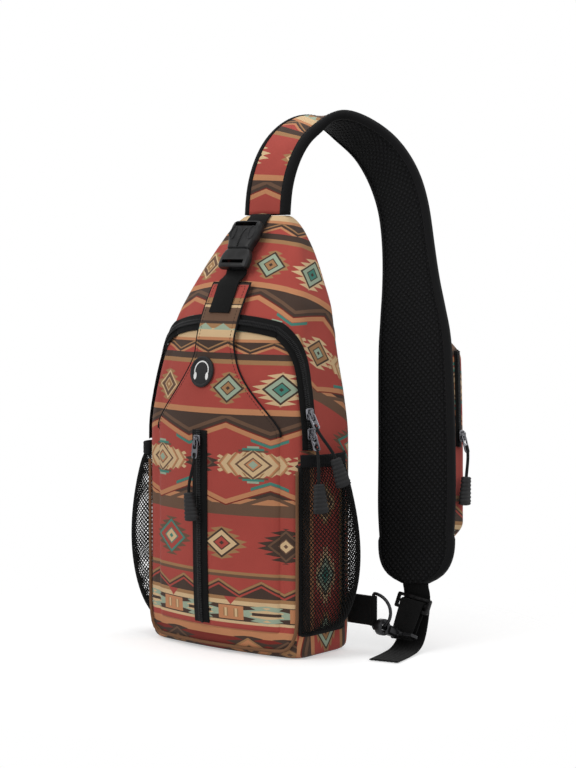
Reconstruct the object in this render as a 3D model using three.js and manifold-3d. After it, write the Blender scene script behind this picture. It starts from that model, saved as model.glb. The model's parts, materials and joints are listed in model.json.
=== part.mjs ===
// Sling backpack: a printed one-shoulder bag that stands on its base, its padded strap looped up behind it.
// Millimetres, +Z up, the front faces -Y, and the origin is the middle of the base.
import * as THREE from "three";
import { mergeVertices } from "three/addons/utils/BufferGeometryUtils.js";
import Module from "manifold-3d";

const wasm = await Module();
wasm.setup();

// Driving dimensions
const GAP = 0.35;
const BODY_HALF_WIDTH = 100;
const BODY_HEIGHT = 418;
const BACK_Y = 40.5;

const PANEL_THICK = 1.6;
const PANEL_BOTTOM = 24;
const PANEL_SHOULDER = 214;
const PANEL_TONGUE_FOOT = 302;
const PANEL_TOP = BODY_HEIGHT - 67;
const PANEL_TONGUE_HALF = 23;
const PANEL_EDGE_INSET = 2;

const BACK_PANEL_THICK = 4.5;
const BACK_PANEL_HALF = 74;
const BACK_PANEL_BOTTOM = 26;
const BACK_PANEL_TOP = 338;

const PIPING_RADIUS = 1.6;
const PIPING_BASE_Z = 13;
const PIPING_TOP_Z = 178;

const TAPE_THICK = 0.9;
const COIL_WIDTH = 6;
const COIL_THICK = 1.3;
const COIL_GAP = 0.8;
const MAIN_TAPE_WIDTH = 16;
const MAIN_TAPE_GAP = 0.7;
const TONGUE_PLAY = 0.2;
const MAIN_ZIP_BOTTOM = 198;
const MAIN_ZIP_SPRING = 262;
const MAIN_ZIP_RISE = 54;
const MAIN_ZIP_SIDE = 1.8;
const MAIN_ZIP_POWER = 2.2;
const MAIN_UPPER_Z = 231;
const MAIN_LOWER_Z = 213;

const FRONT_TAPE_WIDTH = 19;
const FRONT_ZIP_X = -9;
const FRONT_ZIP_BOTTOM = 28;
const FRONT_ZIP_TOP = 213;
const FRONT_SLIDER_Z = 203;

const PORT_RADIUS = 15;
const PORT_THICK = 1.8;
const PORT_X = -10;
const PORT_Z = 268;

const POCKET_WALL = 1.2;
const POCKET_BOTTOM = 24;
const POCKET_TOP = 182;
const POCKET_BULGE = 28;
const POCKET_MOUTH = 11;
const POCKET_SEAM = 1.52;
const POCKET_REAR = 2.94;
const ELASTIC_HEIGHT = 12;
const ELASTIC_WALL = 2.4;

const SLIDER_WIDTH = 9;
const SLIDER_LENGTH = 12;
const SLIDER_PLATE = 1.6;
const BRIDGE_WIDTH = 2.4;
const BRIDGE_LENGTH = 9;
const BRIDGE_BAR = 1.2;
const TAB_WIDTH = 7.6;
const TAB_LENGTH = 18;
const TAB_THICK = 1.4;
const TAB_RAIL = 1.7;
const TAB_PLAY = 0.4;
const CORD_RADIUS = 1.5;
const GRIP_LENGTH = 28;
const GRIP_TOP_HALF = 5;
const GRIP_END_HALF = 8.5;
const GRIP_HALF_THICK = 4;

const WEBBING_THICK = 1.5;
const BUCKLE_WEBBING_WIDTH = 25;
const BUCKLE_WIDTH = 36;
const BUCKLE_THICK = 11;
const BUCKLE_WALL = 1.8;
const SOCKET_LENGTH = 31;
const PLUG_LENGTH = 20;
const BUCKLE_CENTRE_Z = BODY_HEIGHT - 30;
const BUCKLE_LIFT = 9;
const BUCKLE_PLAY = 0.4;

const STRAP_THICK = 11;
const STRAP_ROOT_GAP = 0.95;
const STRAP_POCKET_THICK = 18;
const STRAP_POCKET_HALF = 40;
const STRAP_ZIP_WIDTH = 9;
const STRAP_WEBBING_WIDTH = 30;

const GLIDE_WIDTH = 40;
const GLIDE_HEIGHT = 15;
const GLIDE_THICK = 2.6;
const GLIDE_RAIL = 3;
const GLIDE_BAR = 2.6;
const LOOP_PLAY = 0.5;
const LOOP_WIDTH = 27;
const LOOP_THICK = 1.05;
const EYE_PLAY = 1;

const RING_WIRE = 1.6;
const RING_HALF_HEIGHT = 17;
const RING_REACH = 20;
const TAB_WEB_HEIGHT = 28;
const TAB_WEB_THICK = 3.6;

const HOOK_THICK = 6;
const HOOK_CLAW_RADIUS = 8;
const HOOK_CLAW_BORE = 4;
const HOOK_BARREL_RADIUS = 5;
const HOOK_NECK_RADIUS = 2.2;
const EYE_WIDTH = 38;
const EYE_BAR = 3;

// Hand-chosen stations of the bag's section: height, half width, front edge, front crown, back, and the
// radii of the front and back corners
const SECTIONS = [
  [0, BODY_HALF_WIDTH - 10, -38, 6, 34, 14, 12],
  [2, BODY_HALF_WIDTH - 6, -41.5, 7.5, 37.5, 16, 14],
  [6, BODY_HALF_WIDTH - 3, -43.5, 9, 39.5, 18, 16],
  [14, BODY_HALF_WIDTH - 1.5, -44.5, 11, BACK_Y, 20, 18],
  [40, BODY_HALF_WIDTH, -45, 14, BACK_Y, 20, 18],
  [80, BODY_HALF_WIDTH, -45, 15.5, BACK_Y, 20, 18],
  [140, BODY_HALF_WIDTH, -45, 16, BACK_Y, 20, 18],
  [210, BODY_HALF_WIDTH - 0.5, -45, 16, BACK_Y, 20, 18],
  [240, BODY_HALF_WIDTH - 4.5, -44, 15.5, BACK_Y, 20, 18],
  [276, BODY_HALF_WIDTH - 12, -40, 14, BACK_Y, 19, 18],
  [313, BODY_HALF_WIDTH - 19, -30, 13, BACK_Y, 18, 16],
  [BODY_HEIGHT - 86, BODY_HALF_WIDTH - 23, -21.5, 12.5, BACK_Y, 17, 15],
  [BODY_HEIGHT - 62, BODY_HALF_WIDTH - 32.5, -9, 11, BACK_Y, 14, 14],
  [BODY_HEIGHT - 38, BODY_HALF_WIDTH - 43.5, 2.5, 9, BACK_Y, 12, 12],
  [BODY_HEIGHT - 18, BODY_HALF_WIDTH - 56, 11.5, 6, BACK_Y, 10, 10],
  [BODY_HEIGHT - 8, BODY_HALF_WIDTH - 65, 16, 4, 40, 9, 8],
  [BODY_HEIGHT - 2, BODY_HALF_WIDTH - 72, 19.5, 2.5, 38.5, 7, 7],
  [BODY_HEIGHT, BODY_HALF_WIDTH - 76, 21.5, 2, 36.5, 6, 6],
];

// Hand-chosen stations of the shoulder strap: the middle of its thickness and its half width
const STRAP_ROUTE = [
  [0, 28, BODY_HEIGHT + STRAP_ROOT_GAP, 27],
  [0, 31, BODY_HEIGHT + 28, 27],
  [3, 44, BODY_HEIGHT + 62, 27],
  [9, 62, BODY_HEIGHT + 84, 27],
  [26, 87, BODY_HEIGHT + 96, 27.5],
  [BODY_HALF_WIDTH - 43, 113, BODY_HEIGHT + 76, 28],
  [BODY_HALF_WIDTH - 30, 122, BODY_HEIGHT + 59, 28.5],
  [BODY_HALF_WIDTH - 17, 127, BODY_HEIGHT + 35, 29],
  [BODY_HALF_WIDTH - 7, 127, BODY_HEIGHT + 8, 29],
  [BODY_HALF_WIDTH + 1, 124, BODY_HEIGHT - 31, 30],
  [BODY_HALF_WIDTH + 7, 120, BODY_HEIGHT - 66, 34],
  [BODY_HALF_WIDTH + 13, 115, BODY_HEIGHT - 96, 40],
  [BODY_HALF_WIDTH + 19, 110, 293, 43],
  [BODY_HALF_WIDTH + 34, 93, 185, 44],
  [BODY_HALF_WIDTH + 41, 83, 125, 43.5],
  [BODY_HALF_WIDTH + 44, 79, 98, 40],
  [BODY_HALF_WIDTH + 47, 74, 75, 30],
  [BODY_HALF_WIDTH + 48, 72, 64, 15],
];
const STRAP_POCKET_FROM = 292;
const STRAP_POCKET_TO = 106;
const STRAP_ZIP_FROM = 282;
const STRAP_ZIP_TO = 192;
const STRAP_SLIDER_AT = 206;

// Hand-chosen route of the strap webbing: from the pad end, behind the tri-glide, to its free tail
const WEBBING_ROUTE = [
  [BODY_HALF_WIDTH + 48.2, 72.4, 61.7],
  [BODY_HALF_WIDTH + 48.2, 74.2, 56],
  [BODY_HALF_WIDTH + 48, 75, 46],
  [BODY_HALF_WIDTH + 47.6, 72.6, 31],
  [BODY_HALF_WIDTH + 47.8, 67.5, 16],
  [BODY_HALF_WIDTH + 48.6, 61.5, 8],
  [BODY_HALF_WIDTH + 50.4, 51, 3],
  [BODY_HALF_WIDTH + 53.4, 36, 1.5],
  [BODY_HALF_WIDTH + 57, 19, 1.2],
  [BODY_HALF_WIDTH + 60, 4, 1.2],
];
const WEBBING_WIDTH_START = new THREE.Vector3(1, 0, 0);
const WEBBING_WIDTH_END = new THREE.Vector3(0.95, 0.31, 0);

const GLIDE_AT = new THREE.Vector3(BODY_HALF_WIDTH + 48, 68.6, 45);
const EYE_AT = new THREE.Vector3(BODY_HALF_WIDTH + 44, 57, 14.5);
const RING_AT = new THREE.Vector3(BODY_HALF_WIDTH + 29, 30, 41);
const HOOKED_AT = new THREE.Vector3(BODY_HALF_WIDTH + 39.5, 30, 26.6);

// Pulls: degrees that each tab swings out from its zip, the cord's end from the hinge, the grip's direction
const PULLS = {
  front: { swing: 5, cord: [-6.5, -2.6, -49], grip: [0.12, 0.02, -1] },
  main_upper: { swing: 26, cord: [23, 7, -40], grip: [0.25, 0.18, -1] },
  main_lower: { swing: 22, cord: [15, -10, -44], grip: [0.12, -0.02, -1] },
  strap: { swing: 14, cord: [6, -6, -42], grip: [0.0, -0.1, -1] },
};

// Colours of the finishes
const COLOURS = {
  print: 0x9c4a40,
  cloth: 0x1b1b1c,
  netting: 0x161616,
  webbing: 0x181818,
  tape: 0x181716,
  coil: 0x101010,
  plastic: 0x333232,
  rubber: 0x2a2a2b,
  metal: 0xb8b8ba,
  blackened: 0x2b2b2d,
  piping: 0x8a6a4c,
};
const bag = new THREE.Group();

function finish(colour, roughness, metalness = 0) {
  return new THREE.MeshStandardMaterial({ color: COLOURS[colour], roughness, metalness });
}

function place(name, geometry, colour, roughness, metalness = 0, parent = bag) {
  const mesh = new THREE.Mesh(geometry, finish(colour, roughness, metalness));
  mesh.name = name;
  parent.add(mesh);
  return mesh;
}

// Joins and cuts of closed geometries
function solid(geometry) {
  const bare = geometry.clone();
  bare.deleteAttribute("normal");
  bare.deleteAttribute("uv");
  const merged = mergeVertices(bare, 1e-3);
  return new wasm.Manifold(
    new wasm.Mesh({
      numProp: 3,
      vertProperties: new Float32Array(merged.attributes.position.array),
      triVerts: new Uint32Array(merged.index.array),
    }),
  );
}

function unsolid(made) {
  const mesh = made.getMesh();
  const geometry = new THREE.BufferGeometry();
  geometry.setAttribute("position", new THREE.BufferAttribute(new Float32Array(mesh.vertProperties), 3));
  geometry.setIndex(new THREE.BufferAttribute(new Uint32Array(mesh.triVerts), 1));
  return geometry;
}

function union(...geometries) {
  return unsolid(geometries.map(solid).reduce((sum, next) => sum.add(next)));
}

function cut(geometry, ...tools) {
  return unsolid(tools.map(solid).reduce((rest, tool) => rest.subtract(tool), solid(geometry)));
}

// Closed geometry from shared points and triangles, turned to face out
function closedGeometry(points, faces) {
  let volume = 0;
  const cross = new THREE.Vector3();
  for (const [a, b, c] of faces) {
    volume += points[a].dot(cross.crossVectors(points[b], points[c]));
  }
  const index = faces.flatMap(([a, b, c]) => (volume < 0 ? [a, c, b] : [a, b, c]));
  const geometry = new THREE.BufferGeometry();
  geometry.setAttribute("position", new THREE.Float32BufferAttribute(points.flatMap((p) => p.toArray()), 3));
  geometry.setIndex(index);
  return geometry;
}

// Skin over rings of equal count, with fans over its two ends or joined end to end
function loft(rings, looped = false) {
  const count = rings[0].length;
  const points = rings.flat();
  const faces = [];
  const spans = looped ? rings.length : rings.length - 1;
  for (let row = 0; row < spans; row += 1) {
    const above = ((row + 1) % rings.length) * count;
    for (let i = 0; i < count; i += 1) {
      const j = (i + 1) % count;
      faces.push([row * count + i, row * count + j, above + j]);
      faces.push([row * count + i, above + j, above + i]);
    }
  }
  if (!looped) {
    for (const [row, order] of [[0, -1], [rings.length - 1, 1]]) {
      const hub = points.length;
      const middle = new THREE.Vector3();
      rings[row].forEach((p) => middle.addScaledVector(p, 1 / count));
      points.push(middle);
      for (let i = 0; i < count; i += 1) {
        const j = (i + 1) % count;
        const pair = [row * count + i, row * count + j];
        faces.push(order > 0 ? [hub, pair[0], pair[1]] : [hub, pair[1], pair[0]]);
      }
    }
  }
  return closedGeometry(points, faces);
}

// Slab between two grids of rows and columns
function slab(inner, outer) {
  const rows = inner.length;
  const columns = inner[0].length;
  const points = [...inner.flat(), ...outer.flat()];
  const shift = rows * columns;
  const faces = [];
  const quad = (a, b, c, d) => faces.push([a, b, c], [a, c, d]);
  const at = (row, column) => row * columns + column;
  for (let row = 0; row < rows - 1; row += 1) {
    for (let column = 0; column < columns - 1; column += 1) {
      const corner = [at(row, column), at(row, column + 1), at(row + 1, column + 1), at(row + 1, column)];
      quad(...corner);
      quad(...corner.reverse().map((i) => i + shift));
    }
    quad(at(row, 0), at(row + 1, 0), at(row + 1, 0) + shift, at(row, 0) + shift);
    const last = columns - 1;
    quad(at(row + 1, last), at(row, last), at(row, last) + shift, at(row + 1, last) + shift);
  }
  for (let column = 0; column < columns - 1; column += 1) {
    quad(at(0, column + 1), at(0, column), at(0, column) + shift, at(0, column + 1) + shift);
    const top = rows - 1;
    quad(at(top, column), at(top, column + 1), at(top, column + 1) + shift, at(top, column) + shift);
  }
  return closedGeometry(points, faces);
}

function range(from, to, steps) {
  return Array.from({ length: steps + 1 }, (_, i) => from + ((to - from) * i) / steps);
}

function rectangle(halfWidth, low, high) {
  return [[-halfWidth, low], [halfWidth, low], [halfWidth, high], [-halfWidth, high]];
}

function circle(radius, sides) {
  return range(0, 2 * Math.PI, sides).slice(1).map((a) => [radius * Math.cos(a), radius * Math.sin(a)]);
}

// A profile of (across, out) pairs carried along stations of point, width direction and normal
function sweep(stations, profile, looped = false) {
  const ringAt = ({ point, across, normal }) =>
    profile.map(([u, v]) => point.clone().addScaledVector(across, u).addScaledVector(normal, v));
  return loft(stations.map(ringAt), looped);
}

// Stations moved out along their own normals
function lifted(out) {
  return ({ point, ...rest }) => ({ point: point.clone().addScaledVector(rest.normal, out), ...rest });
}

function roundedOutline(width, height, radius) {
  const shape = new THREE.Shape();
  const x = width / 2;
  const y = height / 2;
  shape.moveTo(-x + radius, -y);
  shape.lineTo(x - radius, -y);
  shape.absarc(x - radius, -y + radius, radius, -Math.PI / 2, 0);
  shape.lineTo(x, y - radius);
  shape.absarc(x - radius, y - radius, radius, 0, Math.PI / 2);
  shape.lineTo(-x + radius, y);
  shape.absarc(-x + radius, y - radius, radius, Math.PI / 2, Math.PI);
  shape.lineTo(-x, -y + radius);
  shape.absarc(-x + radius, -y + radius, radius, Math.PI, 1.5 * Math.PI);
  return shape;
}

function extrude(shape, depth, curveSegments = 4) {
  return new THREE.ExtrudeGeometry(shape, { depth, bevelEnabled: false, curveSegments });
}

// Group whose own X, Y and Z run along three world directions
function framed(at, x, y, z, parent = bag) {
  const group = new THREE.Group();
  group.position.copy(at);
  group.quaternion.setFromRotationMatrix(new THREE.Matrix4().makeBasis(x, y, z));
  parent.add(group);
  return group;
}

// Smooth value of one column of the section table at a height
function sectionValue(column, z) {
  const last = SECTIONS.length - 1;
  let i = SECTIONS.findIndex((row) => row[0] > z) - 1;
  if (i < 0) i = z <= 0 ? 0 : last - 1;
  const slope = (k) => {
    const a = SECTIONS[Math.max(k - 1, 0)];
    const b = SECTIONS[Math.min(k + 1, last)];
    return (b[column] - a[column]) / (b[0] - a[0]);
  };
  const [from, to] = [SECTIONS[i], SECTIONS[i + 1]];
  const span = to[0] - from[0];
  const t = THREE.MathUtils.clamp((z - from[0]) / span, 0, 1);
  const rise = to[column] - from[column];
  const steepest = (3 * rise) / span;
  const limit = (m) => THREE.MathUtils.clamp(m, Math.min(0, steepest), Math.max(0, steepest));
  const m0 = limit(slope(i)) * span;
  const m1 = limit(slope(i + 1)) * span;
  const s = t * t;
  const c = s * t;
  const level = from[column] * (2 * c - 3 * s + 1) + to[column] * (3 * s - 2 * c);
  return level + m0 * (c - 2 * s + t) + m1 * (c - s);
}

// Point of the bag's surface: side 0 to 1 is the front, to 2 the front corner, to 3 the gusset, to 4 the back
// corner and to 5 the back, and a negative side is the mirrored half
function skinPoint(side, z) {
  const [half, edge, crown, back, front, rear] = [1, 2, 3, 4, 5, 6].map((column) => sectionValue(column, z));
  const s = Math.abs(side);
  let x = 0;
  let y = 0;
  if (s <= 1) {
    x = (half - front) * s;
    y = edge - crown * (1 - s * s);
  } else if (s <= 2) {
    const angle = ((s - 1) * Math.PI) / 2;
    x = half - front + front * Math.sin(angle);
    y = edge + front - front * Math.cos(angle);
  } else if (s <= 3) {
    x = half;
    y = THREE.MathUtils.lerp(edge + front, back - rear, s - 2);
  } else if (s <= 4) {
    const angle = ((s - 3) * Math.PI) / 2;
    x = half - rear + rear * Math.cos(angle);
    y = back - rear + rear * Math.sin(angle);
  } else {
    x = (half - rear) * (5 - s);
    y = back;
  }
  return new THREE.Vector3(Math.sign(side || 1) * x, y, z);
}

function skinNormal(side, z) {
  const step = 0.01;
  const along = skinPoint(side + step, z).sub(skinPoint(side - step, z));
  const up = skinPoint(side, z + 0.5).sub(skinPoint(side, z - 0.5));
  return along.cross(up).normalize();
}

function onSkin(side, z, out) {
  return skinPoint(side, z).addScaledVector(skinNormal(side, z), out);
}

function frontSide(x, z) {
  return x / (sectionValue(1, z) - sectionValue(5, z));
}

function onFront(x, z, out) {
  return onSkin(frontSide(x, z), z, out);
}

// Stations of a strip that follows a route of (side, z) pairs over the skin
function skinStations(route, out) {
  const points = route.map(([side, z]) => onSkin(side, z, out));
  return route.map(([side, z], i) => {
    const ahead = points[Math.min(i + 1, points.length - 1)];
    const behind = points[Math.max(i - 1, 0)];
    const along = ahead.clone().sub(behind).normalize();
    const normal = skinNormal(side, z);
    const across = normal.clone().cross(along).normalize();
    return { point: points[i], along, across, normal: along.clone().cross(across).normalize() };
  });
}

// Bag body
const BODY_SIDES = [
  ...range(-1, 1, 12),
  ...range(1.25, 2, 3),
  ...range(2.34, 3, 2),
  ...range(3.33, 4, 2),
  ...range(4.25, 5, 3),
];
const BODY_ROWS = [
  ...[0, 2, 6, 14, 27, 40, 60, 80, 110, 140, 175, 210, 225, 240, 258, 267, 276, 285],
  ...[290, 295, 299, 303, 308],
  ...range(313, BODY_HEIGHT - 86, 3),
  ...[74, 62, 50, 38, 28, 18, 8, 2, 0].map((below) => BODY_HEIGHT - below),
];

function bodyRing(z) {
  const right = BODY_SIDES.filter((side) => side >= 0);
  const left = right.slice(1, -1).reverse().map((side) => -side);
  return [...right, ...left].map((side) => skinPoint(side, z));
}
place("main_body", loft(BODY_ROWS.map(bodyRing)), "print", 0.8);

// Front pocket panel, with the tongue that bridges the arch zip
const PANEL_LIFT = MAIN_TAPE_GAP + TAPE_THICK + COIL_GAP + COIL_THICK + TONGUE_PLAY;

function panelHalf(z) {
  const full = sectionValue(1, z) - sectionValue(5, z) - PANEL_EDGE_INSET;
  const t = THREE.MathUtils.clamp((z - PANEL_SHOULDER) / (PANEL_TONGUE_FOOT - PANEL_SHOULDER), 0, 1);
  return THREE.MathUtils.lerp(full, PANEL_TONGUE_HALF, Math.pow(Math.sin((t * Math.PI) / 2), 1.35));
}

function panelOut(z) {
  return GAP + PANEL_LIFT * THREE.MathUtils.smoothstep(z, PANEL_TONGUE_FOOT - 22, PANEL_TONGUE_FOOT);
}

function panelGrid(extra) {
  const rows = [
    ...range(PANEL_BOTTOM, PANEL_SHOULDER, 12),
    ...range(PANEL_SHOULDER, PANEL_TONGUE_FOOT, 9).slice(1),
    ...range(PANEL_TONGUE_FOOT, PANEL_TOP, 5).slice(1),
  ];
  return rows.map((z) => range(-1, 1, 10).map((f) => onFront(f * panelHalf(z), z, panelOut(z) + extra)));
}
place("front_panel", slab(panelGrid(0), panelGrid(PANEL_THICK)), "print", 0.8);

// Padded back
const backOutline = roundedOutline(2 * BACK_PANEL_HALF, BACK_PANEL_TOP - BACK_PANEL_BOTTOM, 40);
const backPanel = framed(
  new THREE.Vector3(0, BACK_Y + GAP + BACK_PANEL_THICK, (BACK_PANEL_TOP + BACK_PANEL_BOTTOM) / 2),
  new THREE.Vector3(1, 0, 0), new THREE.Vector3(0, 0, 1), new THREE.Vector3(0, -1, 0));
place("back_panel", extrude(backOutline, BACK_PANEL_THICK, 6), "cloth", 0.9, 0, backPanel);

// Piping along the front of the base and up both front corners
const pipingSide = 1.42;
const pipingBend = 40;
const pipingRoute = [
  ...range(PIPING_TOP_Z, pipingBend, 6).map((z) => [pipingSide, z]),
  [pipingSide - 0.08, 24],
  [pipingSide - 0.3, 16],
  ...range(0.9, -0.9, 12).map((side) => [side, PIPING_BASE_Z]),
  [0.3 - pipingSide, 16],
  [0.08 - pipingSide, 24],
  ...range(pipingBend, PIPING_TOP_Z, 6).map((z) => [-pipingSide, z]),
];
const pipingStations = skinStations(pipingRoute, PIPING_RADIUS + GAP);
place("base_piping", sweep(pipingStations, circle(PIPING_RADIUS, 6)), "piping", 0.7);

// Arch zip of the main compartment
function archZ(side) {
  const share = Math.pow(Math.abs(side) / MAIN_ZIP_SIDE, MAIN_ZIP_POWER);
  return MAIN_ZIP_SPRING + MAIN_ZIP_RISE * Math.pow(Math.max(1 - share, 0), 1 / MAIN_ZIP_POWER);
}
const archBends = range(0, Math.PI, 40).map((a) => MAIN_ZIP_SIDE * Math.cos(a));
const archRoute = [
  ...range(MAIN_ZIP_BOTTOM, MAIN_ZIP_SPRING, 4).slice(0, -1).map((z) => [MAIN_ZIP_SIDE, z]),
  ...archBends.map((side) => [side, archZ(side)]),
  ...range(MAIN_ZIP_SPRING, MAIN_ZIP_BOTTOM, 4).slice(1).map((z) => [-MAIN_ZIP_SIDE, z]),
];
const tapeProfile = (width) => rectangle(width / 2, 0, TAPE_THICK);
const coilOut = TAPE_THICK + COIL_GAP;
const coilProfile = rectangle(COIL_WIDTH / 2, 0, COIL_THICK);
const archStations = skinStations(archRoute, MAIN_TAPE_GAP);
place("main_zip_tape", sweep(archStations, tapeProfile(MAIN_TAPE_WIDTH)), "tape", 0.8);
place("main_zip_coil", sweep(archStations.map(lifted(coilOut)), coilProfile), "coil", 0.6);

// Zip of the front pocket, on the panel
const panelFace = GAP + PANEL_THICK + GAP;
const frontRoute = range(FRONT_ZIP_BOTTOM, FRONT_ZIP_TOP, 14).map((z) => [frontSide(FRONT_ZIP_X, z), z]);
const frontStations = skinStations(frontRoute, panelFace);
place("front_zip_tape", sweep(frontStations, tapeProfile(FRONT_TAPE_WIDTH)), "tape", 0.8);
place("front_zip_coil", sweep(frontStations.map(lifted(coilOut)), coilProfile), "coil", 0.6);

// Round pass-through for a headphone cable
const portSide = frontSide(PORT_X, PORT_Z);
const portNormal = skinNormal(portSide, PORT_Z);
const portAcross = new THREE.Vector3(1, 0, 0).addScaledVector(portNormal, -portNormal.x).normalize();
const portUp = portNormal.clone().cross(portAcross);
const port = framed(onSkin(portSide, PORT_Z, panelFace + GAP), portAcross, portUp, portNormal);
const portShape = new THREE.Shape().absarc(0, 0, PORT_RADIUS, 0, 2 * Math.PI);
place("headphone_port", extrude(portShape, PORT_THICK, 12), "rubber", 0.6, 0, port);

// Side pockets of open netting, with an elastic binding round the mouth
function pocketSwell(across, z) {
  const t = THREE.MathUtils.clamp((z - POCKET_BOTTOM) / (POCKET_TOP - POCKET_BOTTOM), 0, 1);
  const belly = POCKET_BULGE * Math.pow(Math.sin(Math.PI * Math.pow(t, 0.8)), 0.75);
  const upright = Math.max(belly, 0) + POCKET_MOUTH * t * t;
  return upright * Math.pow(Math.sin(Math.PI * Math.pow(across, 0.85)), 0.8);
}

function pocketGrid(hand, rows, out) {
  return rows.map((z) => range(0, 1, 10).map((across) => {
    const side = THREE.MathUtils.lerp(POCKET_SEAM, POCKET_REAR, across);
    const level = skinNormal(hand * side, z).setZ(0).normalize();
    const swell = across === 0 || across === 1 ? 0 : pocketSwell(across, Math.min(z, POCKET_TOP));
    return skinPoint(hand * side, z).addScaledVector(level, GAP + swell + out);
  }));
}
const netRows = range(POCKET_BOTTOM, POCKET_TOP, 9);
const elasticRows = range(POCKET_TOP + GAP, POCKET_TOP + ELASTIC_HEIGHT, 1);
for (const [name, hand] of [["left", -1], ["right", 1]]) {
  const net = slab(pocketGrid(hand, netRows, 0), pocketGrid(hand, netRows, POCKET_WALL));
  place(`mesh_pocket_${name}`, net, "netting", 0.9);
  const binding = slab(pocketGrid(hand, elasticRows, 0), pocketGrid(hand, elasticRows, ELASTIC_WALL));
  place(`pocket_elastic_${name}`, binding, "cloth", 0.85);
}

// Zip slider: a plate over the coil and a bridge that holds the pull. Local X across, Y out, Z along the zip
function sliderGeometry() {
  const plate = extrude(roundedOutline(SLIDER_WIDTH, SLIDER_LENGTH, 2.5), SLIDER_PLATE, 3);
  plate.rotateX(-Math.PI / 2);
  const rise = TAB_THICK + 2 * TAB_PLAY;
  const outer = roundedOutline(BRIDGE_LENGTH, 2 * (rise + BRIDGE_BAR), 2);
  const eye = roundedOutline(BRIDGE_LENGTH - 2 * BRIDGE_BAR, 2 * rise, 1);
  outer.holes.push(eye);
  const bridge = extrude(outer, BRIDGE_WIDTH, 3).translate(0, 0, -BRIDGE_WIDTH / 2).rotateY(Math.PI / 2);
  bridge.translate(0, SLIDER_PLATE, 0);
  const below = new THREE.BoxGeometry(SLIDER_WIDTH, 20, 2 * SLIDER_LENGTH);
  below.translate(0, SLIDER_PLATE / 2 - 10, 0);
  return union(plate, cut(bridge, below));
}

// Pull tab: a plate with an upper eye round the bridge and a lower eye for the cord, hanging along its -Y
function tabGeometry() {
  const shape = roundedOutline(TAB_WIDTH, TAB_LENGTH, 2.6);
  const upper = roundedOutline(TAB_WIDTH - 2 * TAB_RAIL, 7, 1.4);
  const lower = roundedOutline(TAB_WIDTH - 2 * TAB_RAIL, 4, 1.2);
  const raised = (by) => (p) => new THREE.Vector2(p.x, p.y + by);
  const shifted = (path, by) => new THREE.Path(path.getPoints(3).map(raised(by)));
  shape.holes.push(shifted(upper, TAB_LENGTH / 2 - TAB_RAIL - 3.5));
  shape.holes.push(shifted(lower, -TAB_LENGTH / 2 + TAB_RAIL + 2));
  const drop = TAB_LENGTH / 2 - TAB_RAIL / 2;
  return extrude(shape, TAB_THICK, 3).translate(0, -drop, -TAB_THICK / 2);
}

function gripGeometry() {
  const stations = [[0, 0.75], [0.12, 1], [0.85, 1], [1, 0.8]].map(([t, fullness]) => {
    const half = THREE.MathUtils.lerp(GRIP_TOP_HALF, GRIP_END_HALF, t) * fullness;
    const thick = GRIP_HALF_THICK * fullness;
    return circle(1, 12).map(([u, v]) => new THREE.Vector3(half * u, -GRIP_LENGTH * t, thick * v));
  });
  return loft(stations);
}

// Frame whose -Y runs along a pull's direction and whose Z faces away from the bag
function pullFrame(at, direction, outward) {
  const up = direction.clone().normalize().negate();
  const across = up.clone().cross(outward).normalize();
  return framed(at, across, up, across.clone().cross(up));
}

function addZipPull(name, station, lift) {
  const seat = station.point.clone().addScaledVector(station.normal, lift);
  const body = framed(seat, station.across, station.normal, station.across.clone().cross(station.normal));
  place(`${name}_slider`, sliderGeometry(), "metal", 0.3, 1, body);
  const hinge = seat.clone().addScaledVector(station.normal, SLIDER_PLATE + TAB_PLAY + TAB_THICK / 2);
  const { swing, cord, grip } = PULLS[name];
  const swingAngle = THREE.MathUtils.degToRad(swing);
  const tabDirection = station.along.clone().multiplyScalar(-Math.cos(swingAngle));
  tabDirection.addScaledVector(station.normal, Math.sin(swingAngle));
  const gripDirection = new THREE.Vector3(...grip).normalize();
  place(`${name}_pull_tab`, tabGeometry(), "metal", 0.3, 1, pullFrame(hinge, tabDirection, station.normal));
  const cordStart = hinge.clone().addScaledVector(tabDirection, TAB_LENGTH - TAB_RAIL / 2 + GAP);
  const cordEnd = hinge.clone().add(new THREE.Vector3(...cord));
  const bend = cordStart.distanceTo(cordEnd) / 3;
  const route = new THREE.CubicBezierCurve3(cordStart, cordStart.clone().addScaledVector(tabDirection, bend),
    cordEnd.clone().addScaledVector(gripDirection, -bend), cordEnd);
  const cordShape = new THREE.Shape(circle(CORD_RADIUS, 8).map(([x, y]) => new THREE.Vector2(x, y)));
  const cordGeometry = new THREE.ExtrudeGeometry(cordShape, { steps: 8, extrudePath: route });
  place(`${name}_pull_cord`, cordGeometry, "cloth", 0.9);
  const gripAt = cordEnd.clone().addScaledVector(gripDirection, GAP);
  const gripFrame = pullFrame(gripAt, gripDirection, station.normal);
  place(`${name}_pull_grip`, gripGeometry(), "rubber", 0.6, 0, gripFrame);
  return { hinge, across: station.across, along: station.along };
}

function stationAt(route, out, z) {
  const near = [-4, 0, 4].map((step) => [typeof route === "function" ? route(z + step) : route, z + step]);
  return skinStations(near, out)[1];
}
const sliderOut = coilOut + COIL_THICK + GAP;
const frontStation = stationAt((z) => frontSide(FRONT_ZIP_X, z), panelFace, FRONT_SLIDER_Z);
export const joints = {
  front: addZipPull("front", frontStation, sliderOut),
  main_upper: addZipPull("main_upper", stationAt(MAIN_ZIP_SIDE, MAIN_TAPE_GAP, MAIN_UPPER_Z), sliderOut),
  main_lower: addZipPull("main_lower", stationAt(MAIN_ZIP_SIDE, MAIN_TAPE_GAP, MAIN_LOWER_Z), sliderOut),
};

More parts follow.
